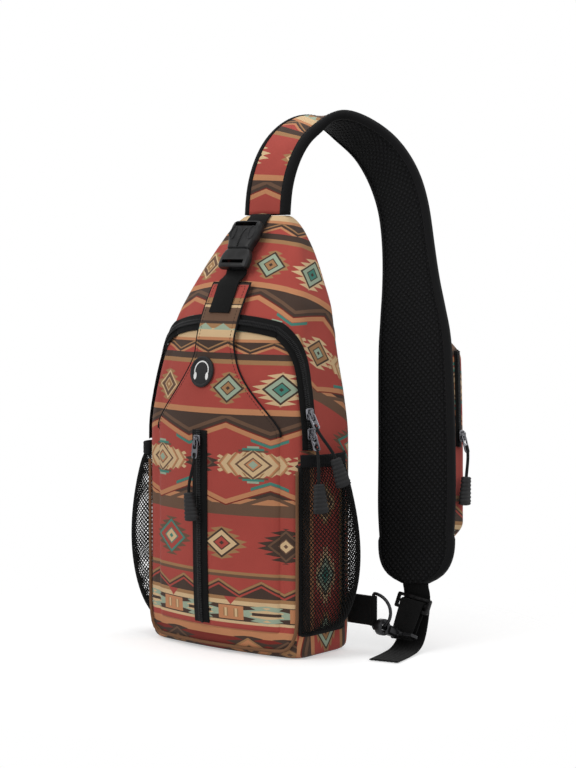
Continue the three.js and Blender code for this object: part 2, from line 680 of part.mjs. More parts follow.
// Side-release buckle on the slope above the tongue. Local X across, Y up the slope, Z out
const slopeNormal = skinNormal(0, BUCKLE_CENTRE_Z);
const slopeUp = slopeNormal.clone().cross(new THREE.Vector3(1, 0, 0));
const buckleAt = onSkin(0, BUCKLE_CENTRE_Z, BUCKLE_LIFT);
const buckle = framed(buckleAt, new THREE.Vector3(1, 0, 0), slopeUp, slopeNormal);
const socketBase = -SOCKET_LENGTH / 2 + 6;
const socketTop = socketBase + SOCKET_LENGTH;
const cavityTop = socketTop - 8;
const slotHeight = WEBBING_THICK * 2 + 1.4;

function box(width, depth, height, x, y, z) {
  return new THREE.BoxGeometry(width, depth, height).translate(x, y, z);
}

function socketGeometry() {
  const shell = extrude(roundedOutline(BUCKLE_WIDTH, SOCKET_LENGTH, 5), BUCKLE_THICK, 4);
  shell.translate(0, socketBase + SOCKET_LENGTH / 2, -BUCKLE_THICK / 2);
  const inner = BUCKLE_THICK - 2 * BUCKLE_WALL;
  const depth = cavityTop - socketBase + 1;
  const cavity = box(BUCKLE_WIDTH - 6, depth, inner, 0, cavityTop - depth / 2, 0);
  const windows = box(BUCKLE_WIDTH + 2, 12, inner, 0, socketBase + 14, 0);
  const slot = box(BUCKLE_WEBBING_WIDTH + 1.5, slotHeight, BUCKLE_THICK + 2, 0, socketTop - 4.5, 0);
  return cut(shell, cavity, windows, slot);
}

function plugGeometry() {
  const inner = BUCKLE_THICK - 2 * BUCKLE_WALL - 2 * BUCKLE_PLAY;
  const frame = extrude(roundedOutline(BUCKLE_WIDTH, PLUG_LENGTH, 3), BUCKLE_THICK - 2, 4);
  const frameY = socketBase - BUCKLE_PLAY - PLUG_LENGTH / 2;
  frame.translate(0, frameY, -(BUCKLE_THICK - 2) / 2);
  const slot = box(BUCKLE_WEBBING_WIDTH + 1.5, 7, BUCKLE_THICK, 0, frameY - 3, 0);
  const tongue = box(6, 18, inner, 0, socketBase + 8, 0);
  const arms = [-1, 1].flatMap((hand) => [
    box(3, 20, inner, hand * (BUCKLE_WIDTH / 2 - 5.4), socketBase + 9, 0),
    box(4.4, 10, inner, hand * (BUCKLE_WIDTH / 2 - 3.6), socketBase + 14, 0),
  ]);
  return union(cut(frame, slot), tongue, ...arms);
}
place("buckle_socket", socketGeometry(), "plastic", 0.55, 0, buckle);
place("buckle_plug", plugGeometry(), "plastic", 0.55, 0, buckle);

// Buckle webbing: a loop through the plug's slot down to the sewn end, and a short loop up to the bag's top
const plugBarY = socketBase - BUCKLE_PLAY - PLUG_LENGTH + 1.7;
const plugSlotY = socketBase - BUCKLE_PLAY - PLUG_LENGTH / 2 - 3;

function buckleStations(points) {
  const curve = new THREE.CatmullRomCurve3(points, false, "centripetal");
  return range(0, 1, 10).map((t) => {
    const along = curve.getTangentAt(t);
    const across = new THREE.Vector3(1, 0, 0);
    return { point: curve.getPointAt(t), along, across, normal: across.clone().cross(along) };
  });
}

function onSlope(y, out) {
  return new THREE.Vector3(0, y, out).applyQuaternion(buckle.quaternion).add(buckle.position);
}
const tongueFace = PANEL_LIFT + GAP + PANEL_THICK + GAP;
const lowerRoute = [
  onFront(0, PANEL_TOP - 29, tongueFace),
  onFront(0, PANEL_TOP - 14, tongueFace),
  onFront(0, PANEL_TOP, tongueFace + 0.6),
  onSlope(plugBarY - 6, -BUCKLE_THICK / 2 - 2.4),
  onSlope(plugBarY + 1.4, -BUCKLE_THICK / 2 - 1.6),
  onSlope(plugSlotY + 1, -BUCKLE_THICK / 2 + 0.4),
];
const buckleWebProfile = rectangle(BUCKLE_WEBBING_WIDTH / 2, 0, WEBBING_THICK);
place("buckle_webbing_lower", sweep(buckleStations(lowerRoute), buckleWebProfile), "webbing", 0.85);
const upperRoute = [
  onSlope(socketTop - 5.4, -BUCKLE_THICK / 2 + 0.6),
  onSlope(socketTop - 2.4, -BUCKLE_THICK / 2 - 2.1),
  onSkin(0, BODY_HEIGHT - 10, 1.2),
  onSkin(0, BODY_HEIGHT - 5, 0.8),
  new THREE.Vector3(0, 19.6, BODY_HEIGHT + 0.6),
];
place("buckle_webbing_upper", sweep(buckleStations(upperRoute), buckleWebProfile), "webbing", 0.85);

// Shoulder strap
const strapCurve = new THREE.CatmullRomCurve3(
  STRAP_ROUTE.map(([x, y, z]) => new THREE.Vector3(x, y, z)), false, "centripetal");
const strapShares = range(0, 1, 200);

function strapStation(t) {
  const point = strapCurve.getPoint(t);
  const along = strapCurve.getTangent(t);
  const across = new THREE.Vector3(1, 0, 0).addScaledVector(along, -along.x).normalize();
  const knot = t * (STRAP_ROUTE.length - 1);
  const i = Math.min(Math.floor(knot), STRAP_ROUTE.length - 2);
  const half = THREE.MathUtils.lerp(STRAP_ROUTE[i][3], STRAP_ROUTE[i + 1][3], knot - i);
  return { point, along, across, normal: across.clone().cross(along), half };
}

// Share of the strap's run at which its hanging side passes a height
function strapShare(z) {
  const hanging = strapShares.filter((t) => t > 0.4);
  return hanging.reduce((best, t) => {
    const miss = (u) => Math.abs(strapCurve.getPoint(u).z - z);
    return miss(t) < miss(best) ? t : best;
  });
}

function strapRing(t) {
  const { point, across, normal, half } = strapStation(t);
  const h = STRAP_THICK / 2;
  const edge = h * 0.55;
  const lower = [[-half, -edge], [5 - half, -h], [half - 5, -h], [half, -edge]];
  const outline = [...lower, [half, edge], [half - 5, h], [5 - half, h], [-half, edge]];
  return outline.map(([u, v]) => point.clone().addScaledVector(across, u).addScaledVector(normal, v));
}
place("strap_pad", loft(range(0, 1, 44).map(strapRing)), "cloth", 0.9);

// Pocket on the outside of the strap, with its zip on the side
function strapPocketStation(t) {
  const { point, along, across, normal } = strapStation(t);
  return { point: point.addScaledVector(normal, STRAP_THICK / 2 + GAP), along, across, normal };
}
const pocketShares = range(strapShare(STRAP_POCKET_FROM), strapShare(STRAP_POCKET_TO), 12);
const pocketRings = pocketShares.map((t, i) => {
  const { point, across, normal } = strapPocketStation(t);
  const ends = Math.min(i, pocketShares.length - 1 - i);
  const half = STRAP_POCKET_HALF - (ends === 0 ? 6 : 0);
  const deep = STRAP_POCKET_THICK * (ends === 0 ? 0.5 : 1);
  const crest = [[half, deep - 4], [half - 4, deep], [4 - half, deep], [-half, deep - 4]];
  const outline = [[-half, 0], [half, 0], ...crest];
  return outline.map(([u, v]) => point.clone().addScaledVector(across, u).addScaledVector(normal, v));
});
place("strap_pocket", loft(pocketRings), "print", 0.8);

function strapZipStation(t) {
  const { point, along, across, normal } = strapPocketStation(t);
  const wall = point.clone().addScaledVector(across, STRAP_POCKET_HALF + GAP);
  wall.addScaledVector(normal, (STRAP_POCKET_THICK - 4) / 2);
  const back = along.clone().negate();
  return { point: wall, along: back, across: across.clone().cross(back), normal: across };
}
const strapZipStations = range(strapShare(STRAP_ZIP_FROM), strapShare(STRAP_ZIP_TO), 8).map(strapZipStation);
place("strap_zip_tape", sweep(strapZipStations, tapeProfile(STRAP_ZIP_WIDTH)), "tape", 0.8);
place("strap_zip_coil", sweep(strapZipStations.map(lifted(coilOut)), coilProfile), "coil", 0.6);
joints.strap = addZipPull("strap", strapZipStation(strapShare(STRAP_SLIDER_AT)), sliderOut);

// Strap webbing with its free tail on the floor
const webbingPoints = WEBBING_ROUTE.map((p) => new THREE.Vector3(...p));
const webbingCurve = new THREE.CatmullRomCurve3(webbingPoints, false, "centripetal");
const webbingStations = range(0, 1, 22).map((t) => {
  const along = webbingCurve.getTangentAt(t);
  const across = WEBBING_WIDTH_START.clone().lerp(WEBBING_WIDTH_END, t);
  across.addScaledVector(along, -across.dot(along)).normalize();
  return { point: webbingCurve.getPointAt(t), along, across, normal: across.clone().cross(along).negate() };
});
const strapWebProfile = rectangle(STRAP_WEBBING_WIDTH / 2, -WEBBING_THICK / 2, WEBBING_THICK / 2);
place("strap_webbing", sweep(webbingStations, strapWebProfile), "webbing", 0.85);

// Tri-glide, and the webbing loop that joins its middle bar to the hook's eye
const loopDown = EYE_AT.clone().sub(GLIDE_AT).normalize();
const glideAcross = new THREE.Vector3(1, 0, 0).addScaledVector(loopDown, -loopDown.x).normalize();
const glideNormal = glideAcross.clone().cross(loopDown.clone().negate());
const hookAlong = HOOKED_AT.clone().sub(EYE_AT).normalize();
const eyeAcross = new THREE.Vector3(1, 0, 0).addScaledVector(hookAlong, -hookAlong.x).normalize();
const hookSide = eyeAcross.clone().cross(hookAlong);

function glideGeometry() {
  const shape = roundedOutline(GLIDE_WIDTH, GLIDE_HEIGHT, 2);
  const slotHeightOfGlide = (GLIDE_HEIGHT - 2 * GLIDE_RAIL - GLIDE_BAR) / 2;
  const slotAt = (GLIDE_BAR + slotHeightOfGlide) / 2;
  for (const y of [-slotAt, slotAt]) {
    const slot = roundedOutline(GLIDE_WIDTH - 2 * GLIDE_RAIL, slotHeightOfGlide, 0.6);
    shape.holes.push(new THREE.Path(slot.getPoints(2).map((p) => new THREE.Vector2(p.x, p.y + y))));
  }
  return extrude(shape, GLIDE_THICK, 3).translate(0, 0, -GLIDE_THICK / 2);
}
const glideFrame = framed(GLIDE_AT, glideAcross, loopDown.clone().negate(), glideNormal);
place("tri_glide", glideGeometry(), "plastic", 0.55, 0, glideFrame);

// Stations round both bars: the bar's half size plus play sets each turn
const topTurn = Math.hypot(GLIDE_BAR, GLIDE_THICK) / 2 + LOOP_PLAY;
const eyeTurn = EYE_BAR / 2 + EYE_PLAY;
function loopStation(centre, radius, angle, across, outOf) {
  const up = loopDown.clone().negate();
  const normal = outOf.clone().multiplyScalar(Math.cos(angle)).addScaledVector(up, Math.sin(angle));
  return { point: centre.clone().addScaledVector(normal, radius), across, normal };
}
const loopStations = [
  ...range(0, Math.PI, 6).map((a) => loopStation(GLIDE_AT, topTurn, a, glideAcross, glideNormal)),
  ...range(Math.PI, 2 * Math.PI, 6).map((a) => loopStation(EYE_AT, eyeTurn, a, eyeAcross, glideNormal)),
];
const loopProfile = rectangle(LOOP_WIDTH / 2, 0, LOOP_THICK);
place("hook_webbing", sweep(loopStations, loopProfile, true), "webbing", 0.85);

// Swivel eye: a wide bail with a bar for the webbing and a bored boss for the hook's neck
const eyeGroup = framed(EYE_AT, eyeAcross, hookSide.clone().negate(), hookAlong);
const eyeRise = 7.5;
const bossLength = 4;
function eyeGeometry() {
  const outer = roundedOutline(EYE_WIDTH, eyeRise + EYE_BAR + bossLength, 2);
  const opening = roundedOutline(EYE_WIDTH - 2 * EYE_BAR, eyeRise - EYE_BAR / 2, 0.8);
  const shift = (eyeRise + bossLength) / 2;
  outer.holes.push(new THREE.Path(opening.getPoints(2).map((p) =>
    new THREE.Vector2(p.x, p.y - shift + (EYE_BAR + eyeRise) / 2 - EYE_BAR / 4))));
  const plate = extrude(outer, EYE_BAR, 2).translate(0, shift, -EYE_BAR / 2).rotateX(Math.PI / 2);
  const trimZ = eyeRise + bossLength + EYE_BAR / 2;
  const trimX = EYE_WIDTH / 4 + 4.5;
  const trim = [-trimX, trimX].map((x) => box(EYE_WIDTH / 2 - 5.5, 20, bossLength * 2, x, 0, trimZ));
  const boss = new THREE.CylinderGeometry(5, 5, bossLength, 12).rotateX(Math.PI / 2).translate(0, 0,
    eyeRise + EYE_BAR / 2 + bossLength / 2);
  const bore = new THREE.CylinderGeometry(HOOK_NECK_RADIUS + GAP, HOOK_NECK_RADIUS + GAP, 30, 12);
  bore.rotateX(Math.PI / 2).translate(0, 0, eyeRise + 15);
  return cut(union(cut(plate, ...trim), boss), bore);
}
place("hook_eye", eyeGeometry(), "blackened", 0.4, 1, eyeGroup);

// Snap hook: neck, barrel and a claw round the D-ring's wire, with a sprung gate across the claw's mouth
const hookLength = HOOKED_AT.distanceTo(EYE_AT);
const barrelFrom = eyeRise + EYE_BAR / 2 + bossLength + GAP;
const barrelTo = hookLength - HOOK_CLAW_RADIUS + 1;
const neckFrom = eyeRise + 0.6;
function hookGeometry() {
  const neck = new THREE.CylinderGeometry(HOOK_NECK_RADIUS, HOOK_NECK_RADIUS, barrelFrom - neckFrom + 1, 10)
    .rotateX(Math.PI / 2).translate(0, 0, (neckFrom + barrelFrom + 1) / 2);
  const barrel = new THREE.CylinderGeometry(HOOK_BARREL_RADIUS, HOOK_BARREL_RADIUS, barrelTo - barrelFrom, 12)
    .rotateX(Math.PI / 2).translate(0, 0, (barrelFrom + barrelTo) / 2);
  const claw = new THREE.CylinderGeometry(HOOK_CLAW_RADIUS, HOOK_CLAW_RADIUS, HOOK_THICK, 20);
  claw.translate(0, 0, hookLength);
  const bore = new THREE.CylinderGeometry(HOOK_CLAW_BORE, HOOK_CLAW_BORE, HOOK_THICK * 2, 14);
  bore.translate(0, 0, hookLength);
  const mouth = box(HOOK_CLAW_RADIUS * 2, HOOK_THICK * 2, 4.2, HOOK_CLAW_RADIUS, 0, hookLength - 0.6);
  return cut(union(neck, barrel, claw), bore, mouth);
}
const hookGroup = framed(EYE_AT, hookSide, eyeAcross, hookAlong);
place("snap_hook", hookGeometry(), "blackened", 0.4, 1, hookGroup);
const gateWide = 3.2;
const gateShape = roundedOutline(gateWide, 3.4, 1.2);
const gate = extrude(gateShape, HOOK_THICK, 3).rotateX(Math.PI / 2);
gate.translate(HOOK_CLAW_RADIUS - 1.9, HOOK_THICK / 2, hookLength - 0.6);
place("hook_gate", gate, "blackened", 0.4, 1, hookGroup);

// D-ring and the webbing tab that holds it
const ringStations = [
  ...range(-RING_HALF_HEIGHT, RING_HALF_HEIGHT, 4).map((z) => [0, z]),
  ...range(0, Math.PI, 14)
    .slice(1, -1)
    .map((a) => [RING_REACH * Math.sin(a), RING_HALF_HEIGHT * Math.cos(a)]),
].map(([x, z]) => new THREE.Vector3(RING_AT.x + x, RING_AT.y, RING_AT.z + z));
const ringFrames = ringStations.map((point, i) => {
  const ahead = ringStations[(i + 1) % ringStations.length];
  const behind = ringStations[(i + ringStations.length - 1) % ringStations.length];
  const along = ahead.clone().sub(behind).normalize();
  const across = new THREE.Vector3(0, 1, 0);
  return { point, across, normal: across.clone().cross(along) };
});
place("d_ring", sweep(ringFrames, circle(RING_WIRE, 8), true), "blackened", 0.35, 1);

// How far out the rear corner of the bag reaches at one depth and height
function rearCornerX(y, z) {
  const rear = sectionValue(6, z);
  const sine = THREE.MathUtils.clamp((y - sectionValue(4, z) + rear) / rear, 0, 1);
  return sectionValue(1, z) - rear + rear * Math.sqrt(1 - sine * sine);
}

function tabWebGeometry() {
  const eyeRadius = RING_WIRE + GAP;
  const round = eyeRadius + WEBBING_THICK;
  const shape = new THREE.Shape();
  const root = rearCornerX(RING_AT.y - TAB_WEB_THICK / 2, RING_AT.z) + GAP - RING_AT.x;
  shape.moveTo(root, -TAB_WEB_THICK / 2);
  const foot = -Math.sqrt(round * round - (TAB_WEB_THICK / 2) ** 2);
  const turn = Math.atan2(-TAB_WEB_THICK / 2, foot);
  shape.lineTo(foot, -TAB_WEB_THICK / 2);
  shape.absarc(0, 0, round, turn, -turn, false);
  shape.lineTo(root, TAB_WEB_THICK / 2);
  shape.closePath();
  shape.holes.push(new THREE.Path().absarc(0, 0, eyeRadius, 0, 2 * Math.PI));
  return extrude(shape, TAB_WEB_HEIGHT, 8).translate(RING_AT.x, RING_AT.y, RING_AT.z - TAB_WEB_HEIGHT / 2);
}
place("tab_webbing", tabWebGeometry(), "webbing", 0.85);

export default bag;
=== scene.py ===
"""Looks of a printed sling backpack: soft shells, zips, netting, strap and hardware on its frame."""

import json
import logging
import math
from dataclasses import dataclass
from enum import Enum
from functools import cache
from typing import Iterable, Optional, Sequence

import bmesh
import bpy
import numpy as np
from mathutils import Euler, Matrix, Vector, noise

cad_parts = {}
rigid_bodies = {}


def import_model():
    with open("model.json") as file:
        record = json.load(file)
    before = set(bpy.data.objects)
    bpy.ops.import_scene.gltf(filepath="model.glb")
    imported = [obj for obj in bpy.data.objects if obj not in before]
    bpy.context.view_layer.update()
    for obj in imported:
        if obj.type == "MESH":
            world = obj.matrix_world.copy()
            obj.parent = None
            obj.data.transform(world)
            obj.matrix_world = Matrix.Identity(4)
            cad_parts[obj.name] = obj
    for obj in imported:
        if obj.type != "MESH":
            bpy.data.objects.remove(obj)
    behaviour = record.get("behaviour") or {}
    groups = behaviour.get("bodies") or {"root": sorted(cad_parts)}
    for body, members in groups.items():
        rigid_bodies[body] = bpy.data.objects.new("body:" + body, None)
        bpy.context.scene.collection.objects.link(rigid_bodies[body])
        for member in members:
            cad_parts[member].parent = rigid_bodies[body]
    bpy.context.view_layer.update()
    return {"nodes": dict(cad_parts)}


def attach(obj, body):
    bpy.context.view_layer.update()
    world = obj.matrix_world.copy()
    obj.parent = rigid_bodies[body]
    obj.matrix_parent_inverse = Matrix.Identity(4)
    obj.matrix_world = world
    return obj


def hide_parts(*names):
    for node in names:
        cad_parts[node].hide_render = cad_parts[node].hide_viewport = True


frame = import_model()

LOG = logging.getLogger("sling_backpack")
MM = 0.001
UV_SCALE = 0.01
UV_NAME = "cloth_uv"
GAP = 0.35
ARCH_SIDE = 1.8
ARCH_FOOT = 198.0
ARCH_SHOULDER = 262.0
ARCH_RISE = 54.0
ARCH_POWER = 2.2
PANEL_SIDE = 1.42
FRONT_ZIP_X = -9.0
FRONT_ZIP_OUT = 2.3
MAIN_ZIP_OUT = 0.7
ROOT = "bag"
Point = tuple[float, float, float]
Colour = tuple[float, float, float]
Outline = Sequence[tuple[float, float]]
Route = tuple[np.ndarray, np.ndarray]
Piece = bpy.types.Object
Tree = bpy.types.NodeTree


def srgb(code: str) -> Colour:
    """Linear colour of a hex code."""
    parts = [int(code[i:i + 2], 16) / 255 for i in (0, 2, 4)]
    return tuple(c / 12.92 if c <= 0.04045 else ((c + 0.055) / 1.055) ** 2.4 for c in parts)


class Dye(Enum):
    """Colours of the printed cloth; the deep red also carries painted shade in the foot band."""

    RED = "b04d44"
    # Deep red is a dye in the zigzags and motifs; in the foot band it is red deepened with painted shade,
    # darker where the base curves under.
    DEEP_RED = "7e3029"
    BROWN = "4a3a32"
    MID_BROWN = "6f5443"
    TAN = "a97f58"
    ORANGE = "c98b63"
    CREAM = "ddbd92"
    PALE_TEAL = "a3b39c"
    TEAL = "4c8779"

    @property
    def linear(self) -> Colour:
        """The dye as a linear colour."""
        return srgb(self.value)


# Shader graphs
class Graph:
    """Makes and links the nodes of one shader tree."""

    def __init__(self, tree: Tree) -> None:
        """Takes the tree to build in."""
        self.tree = tree

    def node(self, kind: str, **settings: object) -> bpy.types.Node:
        """Adds a node and sets its properties.

        Args:
            kind: the node's type.
            settings: properties to set on it.

        Returns:
            The new node.
        """
        made = self.tree.nodes.new(kind)
        for key, value in settings.items():
            setattr(made, key, value)
        return made

    def feed(self, socket: bpy.types.NodeSocket, value: object) -> None:
        """Links a field or socket to an input, or sets its plain value.

        Args:
            socket: the input.
            value: a field, a socket or a plain value.
        """
        if isinstance(value, Field):
            value = value.socket
        if isinstance(value, bpy.types.NodeSocket):
            self.tree.links.new(value, socket)
        elif isinstance(value, tuple) and len(value) == 3 and socket.type == "RGBA":
            socket.default_value = (*value, 1)
        else:
            socket.default_value = value

    def math(self, operation: str, *values: object) -> "Field":
        """A math node over one, two or three values.

        Args:
            operation: the node's operation.
            values: its inputs, in order.

        Returns:
            The result.
        """
        made = self.node("ShaderNodeMath", operation=operation)
        for socket, value in zip(made.inputs, values):
            self.feed(socket, value)
        return Field(self, made.outputs[0])

    def ramp(self, factor: object, stops: Sequence[tuple[float, Colour]], stepped: bool = True) -> "Field":
        """A colour ramp over a factor.

        Args:
            factor: value from 0 to 1.
            stops: positions and linear colours, lowest first.
            stepped: whether colours change in hard steps.

        Returns:
            The ramp's colour.
        """
        made = self.node("ShaderNodeValToRGB")
        band = made.color_ramp
        band.interpolation = "CONSTANT" if stepped else "LINEAR"
        while len(band.elements) < len(stops):
            band.elements.new(1.0)
        for element, (position, colour) in zip(band.elements, stops):
            element.position = position
            element.color = (*colour, 1)
        self.feed(made.inputs[0], factor)
        return Field(self, made.outputs[0])

    def mix(self, factor: object, low: object, high: object) -> "Field":
        """Mixes two colours by a factor.

        Args:
            factor: share of the second colour.
            low: the first colour.
            high: the second colour.

        Returns:
            The mixed colour.
        """
        made = self.node("ShaderNodeMix", data_type="RGBA")
        self.feed(made.inputs[0], factor)
        self.feed(made.inputs[6], low)
        self.feed(made.inputs[7], high)
        return Field(self, made.outputs[2])

    def noise(self, vector: object, scale: float, detail: float = 2.0) -> "Field":
        """Noise value over a vector.

        Args:
            vector: place to read it at.
            scale: how fine it is.
            detail: how many finer layers it has.

        Returns:
            The noise, from 0 to 1.
        """
        made = self.node("ShaderNodeTexNoise")
        self.feed(made.inputs["Vector"], vector)
        made.inputs["Scale"].default_value = scale
        made.inputs["Detail"].default_value = detail
        return Field(self, made.outputs[0])


class Field:
    """A shader value that plain arithmetic builds on."""

    def __init__(self, graph: Graph, socket: bpy.types.NodeSocket) -> None:
        """Takes the graph and the socket that gives the value."""
        self.graph = graph
        self.socket = socket

    def __add__(self, other: object) -> "Field":
        """Sum."""
        return self.graph.math("ADD", self, other)

    def __sub__(self, other: object) -> "Field":
        """Difference."""
        return self.graph.math("SUBTRACT", self, other)

    def __mul__(self, other: object) -> "Field":
        """Product, which is also both of two masks."""
        return self.graph.math("MULTIPLY", self, other)

    def __truediv__(self, other: object) -> "Field":
        """Quotient."""
        return self.graph.math("DIVIDE", self, other)

    def __lt__(self, other: object) -> "Field":
        """Mask of where this is below the other."""
        return self.graph.math("LESS_THAN", self, other)

    def __gt__(self, other: object) -> "Field":
        """Mask of where this is above the other."""
        return self.graph.math("GREATER_THAN", self, other)

    def size(self) -> "Field":
        """Absolute value."""
        return self.graph.math("ABSOLUTE", self)

    def wave(self, period: float, shift: float = 0.0) -> "Field":
        """Triangle wave from 0 to 1 with peaks one period apart."""
        return self.graph.math("PINGPONG", self + shift, period / 2) / (period / 2)

    def cell(self, period: float, shift: float = 0.0) -> "Field":
        """Distance from the middle of the repeat that holds this value."""
        return self.graph.math("FLOORED_MODULO", self + (shift + period / 2), period) - period / 2

    def between(self, low: float, high: float) -> "Field":
        """Mask of a band of values."""
        return (self > low) * (self < high)


def new_group(name: str, inputs: Sequence[tuple[str, str, object]],
              outputs: Sequence[tuple[str, str]]) -> tuple[Graph, dict, bpy.types.Node]:
    """Starts a shader node group with named sockets.

    Args:
        name: the group's name.
        inputs: name, socket type and default of each input.
        outputs: name and socket type of each output.

    Returns:
        Its graph, its inputs as fields by name, and its output node.
    """
    tree = bpy.data.node_groups.new(name, "ShaderNodeTree")
    for label, kind, default in inputs:
        socket = tree.interface.new_socket(label, in_out="INPUT", socket_type=kind)
        if default is not None:
            socket.default_value = default
    for label, kind in outputs:
        tree.interface.new_socket(label, in_out="OUTPUT", socket_type=kind)
    graph = Graph(tree)
    entry = graph.node("NodeGroupInput")
    fields = {label: Field(graph, entry.outputs[label]) for label, _, _ in inputs}
    return graph, fields, graph.node("NodeGroupOutput")


@dataclass(frozen=True)
class Motif:
    """A diamond with a spiked fringe, repeated along one height of the print."""

    at: tuple[float, float]
    spacing: float
    half: tuple[float, float]
    fringe: Dye
    outline: Dye
    fill: Dye
    heart: Dye
    spread: float = 0.5
    step: float = 2.6


class BandedPrint:
    """Node group of the banded geometric print, in millimetres of cloth."""

    REPEAT = 354.0
    MEDALLION_ROW = 183.0
    MEDALLION_STEP = (118.0, 67.0)
    BLOCK_ROW = (31.0, 50.0)
    BANDS = (
        # The foot band from 0 to 16 mm is red deepened with painted shade where the base curves under.
        (0, Dye.DEEP_RED), (16, Dye.ORANGE), (24, Dye.RED), (30, Dye.CREAM), (32.5, Dye.BROWN),
        (48, Dye.CREAM), (52, Dye.TAN), (56, Dye.RED), (74, Dye.MID_BROWN), (76.5, Dye.TAN),
        (79, Dye.RED), (134, Dye.MID_BROWN), (145, Dye.ORANGE), (150, Dye.BROWN), (172, Dye.RED),
        (194, Dye.BROWN), (229, Dye.ORANGE), (235, Dye.RED), (276, Dye.TAN), (280, Dye.BROWN),
        (297, Dye.ORANGE), (300, Dye.CREAM), (308, Dye.TAN), (312, Dye.BROWN), (330, Dye.TAN),
        (335, Dye.RED), (347.5, Dye.BROWN),
    )
    MOTIFS = (
        Motif((-65, 254), 210, (16, 14), Dye.TAN, Dye.CREAM, Dye.MID_BROWN, Dye.TAN),
        Motif((22, 254), 210, (17.5, 14), Dye.TAN, Dye.BROWN, Dye.PALE_TEAL, Dye.TAN, 0.38),
        Motif((77, 254), 210, (20, 14.5), Dye.CREAM, Dye.BROWN, Dye.PALE_TEAL, Dye.TEAL, 0.66),
        Motif((-52, 107), 222, (22, 16.5), Dye.MID_BROWN, Dye.TEAL, Dye.RED, Dye.CREAM, 0.5),
        Motif((17, 107), 222, (20.5, 14.5), Dye.TAN, Dye.BROWN, Dye.CREAM, Dye.RED, 0.5),
        Motif((84, 107), 222, (19, 15), Dye.BROWN, Dye.MID_BROWN, Dye.BROWN, Dye.CREAM, 0.66),
        Motif((51, 183), 118, (19, 14), Dye.CREAM, Dye.MID_BROWN, Dye.CREAM, Dye.ORANGE, 0.1, 2.2),
        Motif((-8, 183), 236, (15, 10), Dye.BROWN, Dye.MID_BROWN, Dye.DEEP_RED, Dye.TAN, 0.7),
        Motif((112, 183), 236, (19, 14), Dye.CREAM, Dye.BROWN, Dye.TAN, Dye.PALE_TEAL, 0.6),
        Motif((-50, 4), 135, (24, 13), Dye.BROWN, Dye.MID_BROWN, Dye.BROWN, Dye.TAN, 0.66),
        Motif((42, 4), 135, (24, 13), Dye.BROWN, Dye.TAN, Dye.ORANGE, Dye.BROWN, 0.66),
    )

    def build(self) -> Tree:
        """Builds the group, which turns a cloth position into the print's colour.

        Returns:
            The finished group.
        """
        graph, fields, exit_node = new_group("banded_print", [("Cloth", "NodeSocketVector", None)],
                                             [("Colour", "NodeSocketColor")])
        split = graph.node("ShaderNodeSeparateXYZ")
        graph.feed(split.inputs[0], fields["Cloth"])
        self.u = Field(graph, split.outputs[0]) / UV_SCALE
        raw = Field(graph, split.outputs[1]) / UV_SCALE
        self.v = graph.math("FLOORED_MODULO", raw, self.REPEAT)
        stops = [(edge / self.REPEAT, dye.linear) for edge, dye in self.BANDS]
        self.graph, self.colour = graph, graph.ramp(self.v / self.REPEAT, stops)
        self.medal = (self.u.cell(*self.MEDALLION_STEP).size(), (self.v - self.MEDALLION_ROW).size())
        self.zigzags()
        self.wings()
        for motif in self.MOTIFS:
            self.diamonds(motif)
        self.blocks()
        self.blankets()
        graph.feed(exit_node.inputs["Colour"], self.colour)
        return graph.tree

    def paint(self, *layers: tuple[Field, Dye]) -> None:
        """Lays dyes over the print where their masks are set, the last on top."""
        for mask, dye in layers:
            self.colour = self.graph.mix(mask, self.colour, dye.linear)

    def zigzags(self) -> None:
        """Zigzag lines and mountains over the dark bands."""
        tall = self.u.wave(92, 24)
        for base, sign in ((206, 1.0), (160, -1.0)):
            level = (self.v - base) * sign - tall * 15
            self.paint((level.between(-32, -3.5) * self.near(base, 24), Dye.RED),
                       (level.between(-7.5, -4.5) * self.near(base, 20) * (tall < 0.42), Dye.TEAL),
                       (level.between(-4, 0.6) * self.near(base, 24), Dye.ORANGE),
                       (level.between(0.6, 1.8) * self.near(base, 24), Dye.DEEP_RED),
                       (level.between(5, 8.5) * self.near(base, 22), Dye.MID_BROWN))
        peak = self.v - 286.5 - self.u.wave(46, 6) * 8
        row = self.v.between(286.5, 297)
        self.paint(((peak < 0) * row, Dye.RED), (peak.between(-2.2, 0) * row, Dye.ORANGE),
                   (peak.between(2.2, 3.6) * row, Dye.TAN))
        low = self.v - 62 - self.u.wave(46, 10) * 11
        foot = self.v.between(56, 74)
        self.paint(((low < 0) * foot, Dye.BROWN), (low.between(-2.6, -0.2) * foot, Dye.TAN),
                   (low.between(-6.4, -4.4) * foot, Dye.RED))

    def wings(self) -> None:
        """Striped wings with ragged ends on both sides of each medallion."""
        across, rise = self.medal
        ragged = (across - rise.wave(4.4) * 7) < 34
        wing = ragged * ((rise + across.wave(9) * 2.5 + across * 0.17) < 14.5)
        stripe = self.graph.math("FLOORED_MODULO", across + rise * 0.9, 10)
        self.paint((wing, Dye.CREAM), (wing * stripe.between(4.4, 6.2), Dye.ORANGE),
                   (wing * stripe.between(6.2, 8), Dye.TAN),
                   ((across < 15) * rise.between(12, 14), Dye.MID_BROWN))

    def near(self, height: float, reach: float) -> Field:
        """Mask of the band within a reach of a height."""
        return (self.v - height).size() < reach

    def diamonds(self, motif: Motif) -> None:
        """One row of diamonds with spiked fringes.

        Args:
            motif: the row's place, shape and dyes.
        """
        across = self.u.cell(motif.spacing, -motif.at[0]).size()
        rise = (self.v - motif.at[1]).size()
        body = across / motif.half[0] + rise / motif.half[1]
        rays = body - rise.wave(2 * motif.step) * motif.spread
        tips = (rays < 1.04) * (rise < 1.12 * motif.half[1])
        self.paint((tips, motif.fringe), (body < 1.0, motif.outline), (body < 0.84, motif.fill),
                   (body < 0.5, motif.outline), (body < 0.41, motif.heart), (body < 0.14, motif.outline))

